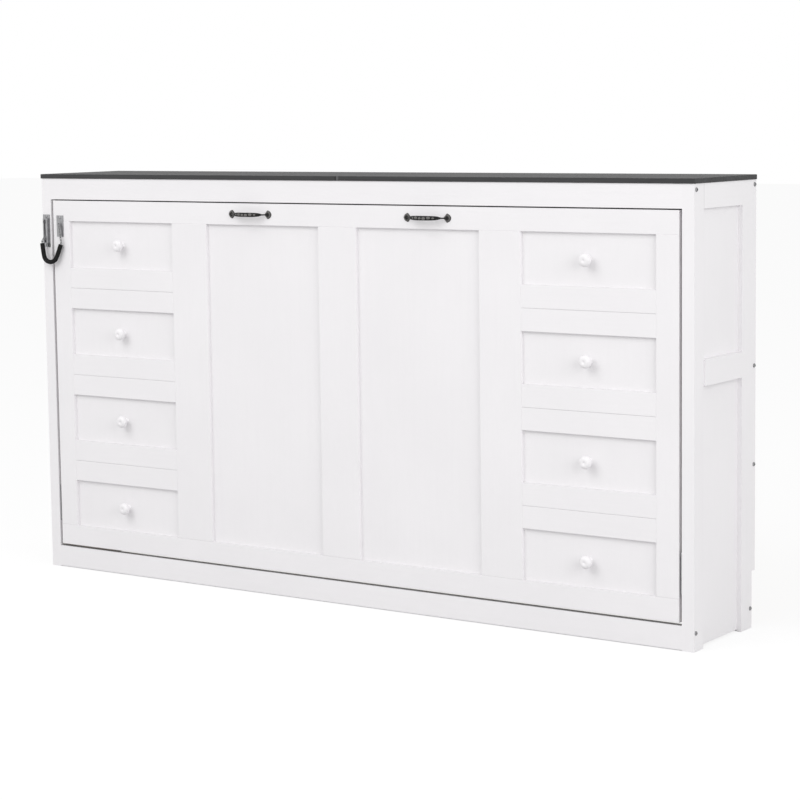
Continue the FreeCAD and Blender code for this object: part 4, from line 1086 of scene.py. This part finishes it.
# The two lamps: where each stands, what it is turned to, and its size
FRONT_LAMP = {"place": (-1.4, -3.8, 4.0), "aim": (0, 0, 0.55), "size": 3.6}
SIDE_LAMP = {"place": (4.6, -1.9, 2.0), "aim": (0.6, 0.1, 0.55), "size": 2.6}

WHITE = (1, 1, 1, 1)


def seen_share(tree):
    """Give 1 for what the camera, a gloss or a glass sees, and 0 for light that falls on surfaces."""
    path = wire(tree, "LightPath").outputs
    seen = reckon(tree, "MAXIMUM", path["Is Camera Ray"], path["Is Glossy Ray"])
    return reckon(tree, "MAXIMUM", seen, path["Is Transmission Ray"])


def white_world(sky):
    """An even sky that shows as white."""
    world = bpy.data.worlds.new("studio")
    bpy.context.scene.world = world
    world.use_nodes = True
    tree = world.node_tree
    tree.nodes.clear()
    light = wire(tree, "Background", {"Color": WHITE, "Strength": sky}).outputs[0]
    white = wire(tree, "Background", {"Color": WHITE, "Strength": 1.0}).outputs[0]
    both = wire(tree, "MixShader", {0: seen_share(tree), 1: light, 2: white}).outputs[0]
    wire(tree, "OutputWorld", {"Surface": both})


def floor_finish(veil):
    """A pale floor that shows nearly white and keeps the shadow."""
    material = bpy.data.materials.new("studio floor")
    material.use_nodes = True
    tree = material.node_tree
    tree.nodes.clear()
    seen = seen_share(tree)
    pale = blend_colour(tree, seen, (FLOOR_GREY, FLOOR_GREY, FLOOR_GREY), (1, 1, 1))
    plain = wire(tree, "BsdfDiffuse", {"Color": pale}).outputs[0]
    white = wire(tree, "Emission", {"Color": WHITE, "Strength": 1.0}).outputs[0]
    share = reckon(tree, "MULTIPLY", seen, veil)
    both = wire(tree, "MixShader", {0: share, 1: plain, 2: white}).outputs[0]
    wire(tree, "OutputMaterial", {"Surface": both})
    return material


def soft_lamp(name, power, place, aim, size):
    """A large square lamp turned to a point."""
    data = bpy.data.lights.new(name, "AREA")
    data.shape = "SQUARE"
    data.size = size
    data.energy = power
    lamp = bpy.data.objects.new(name, data)
    lamp.location = place
    lamp.rotation_euler = (Vector(aim) - Vector(place)).to_track_quat("-Z", "Y").to_euler()
    bpy.context.scene.collection.objects.link(lamp)


def photo_camera():
    """The camera, turned by its heading, dip and roll."""
    stage = settings("stage")
    ahead = Vector((-math.sin(stage.heading), math.cos(stage.heading), 0))
    forward = ahead * math.cos(stage.dip) - Vector((0, 0, math.sin(stage.dip)))
    right = Vector((math.cos(stage.heading), math.sin(stage.heading), 0))
    up = right.cross(forward)
    across = right * math.cos(stage.roll) + up * math.sin(stage.roll)
    above = up * math.cos(stage.roll) - right * math.sin(stage.roll)
    data = bpy.data.cameras.new("photo camera")
    data.sensor_width = SENSOR
    data.lens = stage.lens
    data.shift_y = stage.drop
    data.clip_end = SIGHT
    camera = bpy.data.objects.new("photo camera", data)
    turn = Matrix((across, above, -forward)).transposed()
    camera.matrix_world = Matrix.Translation(Vector(stage.eye)) @ turn.to_4x4()
    return camera


class WALLBED_OT_stage(bpy.types.Operator):
    """Set the camera, the floor and the studio light"""

    bl_idname = "wallbed.stage"
    bl_label = "Stage"

    def execute(self, context):
        stage = settings("stage")
        scene = context.scene
        scene.view_settings.view_transform = "Standard"
        camera = photo_camera()
        scene.collection.objects.link(camera)
        scene.camera = camera
        bpy.ops.object.select_all(action="DESELECT")
        bpy.ops.mesh.primitive_plane_add(size=FLOOR_SIZE, location=(0, 0, 0))
        floor = context.object
        floor.name = "studio_floor"
        floor.data.materials.append(floor_finish(stage.veil))
        white_world(stage.sky)
        soft_lamp("front lamp", stage.key, **FRONT_LAMP)
        soft_lamp("side lamp", stage.side, **SIDE_LAMP)
        return {"FINISHED"}


OPERATORS = (
    WALLBED_OT_stage,
    WALLBED_OT_chain_sleeve,
    WALLBED_OT_painted_boards,
    WALLBED_OT_grey_top,
    WALLBED_OT_bare_pine,
    WALLBED_OT_fittings,
    WALLBED_OT_iron_pulls,
    WALLBED_OT_screws,
)


class WALLBED_PT_pieces(bpy.types.Panel):
    """Lists the steps that dress the wall bed"""

    bl_idname = "WALLBED_PT_pieces"
    bl_label = "Wall Bed"
    bl_space_type = "VIEW_3D"
    bl_region_type = "UI"
    bl_category = "Wall Bed"

    def draw(self, context):
        for step in OPERATORS:
            self.layout.operator(step.bl_idname)
        for name, kind in SETTINGS.items():
            self.layout.label(text=name.capitalize())
            for prop in kind.__annotations__:
                self.layout.prop(settings(name), prop)


CLASSES = (*SETTINGS.values(), *OPERATORS, WALLBED_PT_pieces)


def register():
    for kind in CLASSES:
        bpy.utils.register_class(kind)
    for name, kind in SETTINGS.items():
        setattr(bpy.types.Scene, f"wall_bed_{name}", bpy.props.PointerProperty(type=kind))


def unregister():
    for name in SETTINGS:
        delattr(bpy.types.Scene, f"wall_bed_{name}")
    for kind in reversed(CLASSES):
        bpy.utils.unregister_class(kind)


def main():
    register()
    for step in OPERATORS:
        group, name = step.bl_idname.split(".")
        getattr(getattr(bpy.ops, group), name)()


if __name__ == "__main__":
    main()
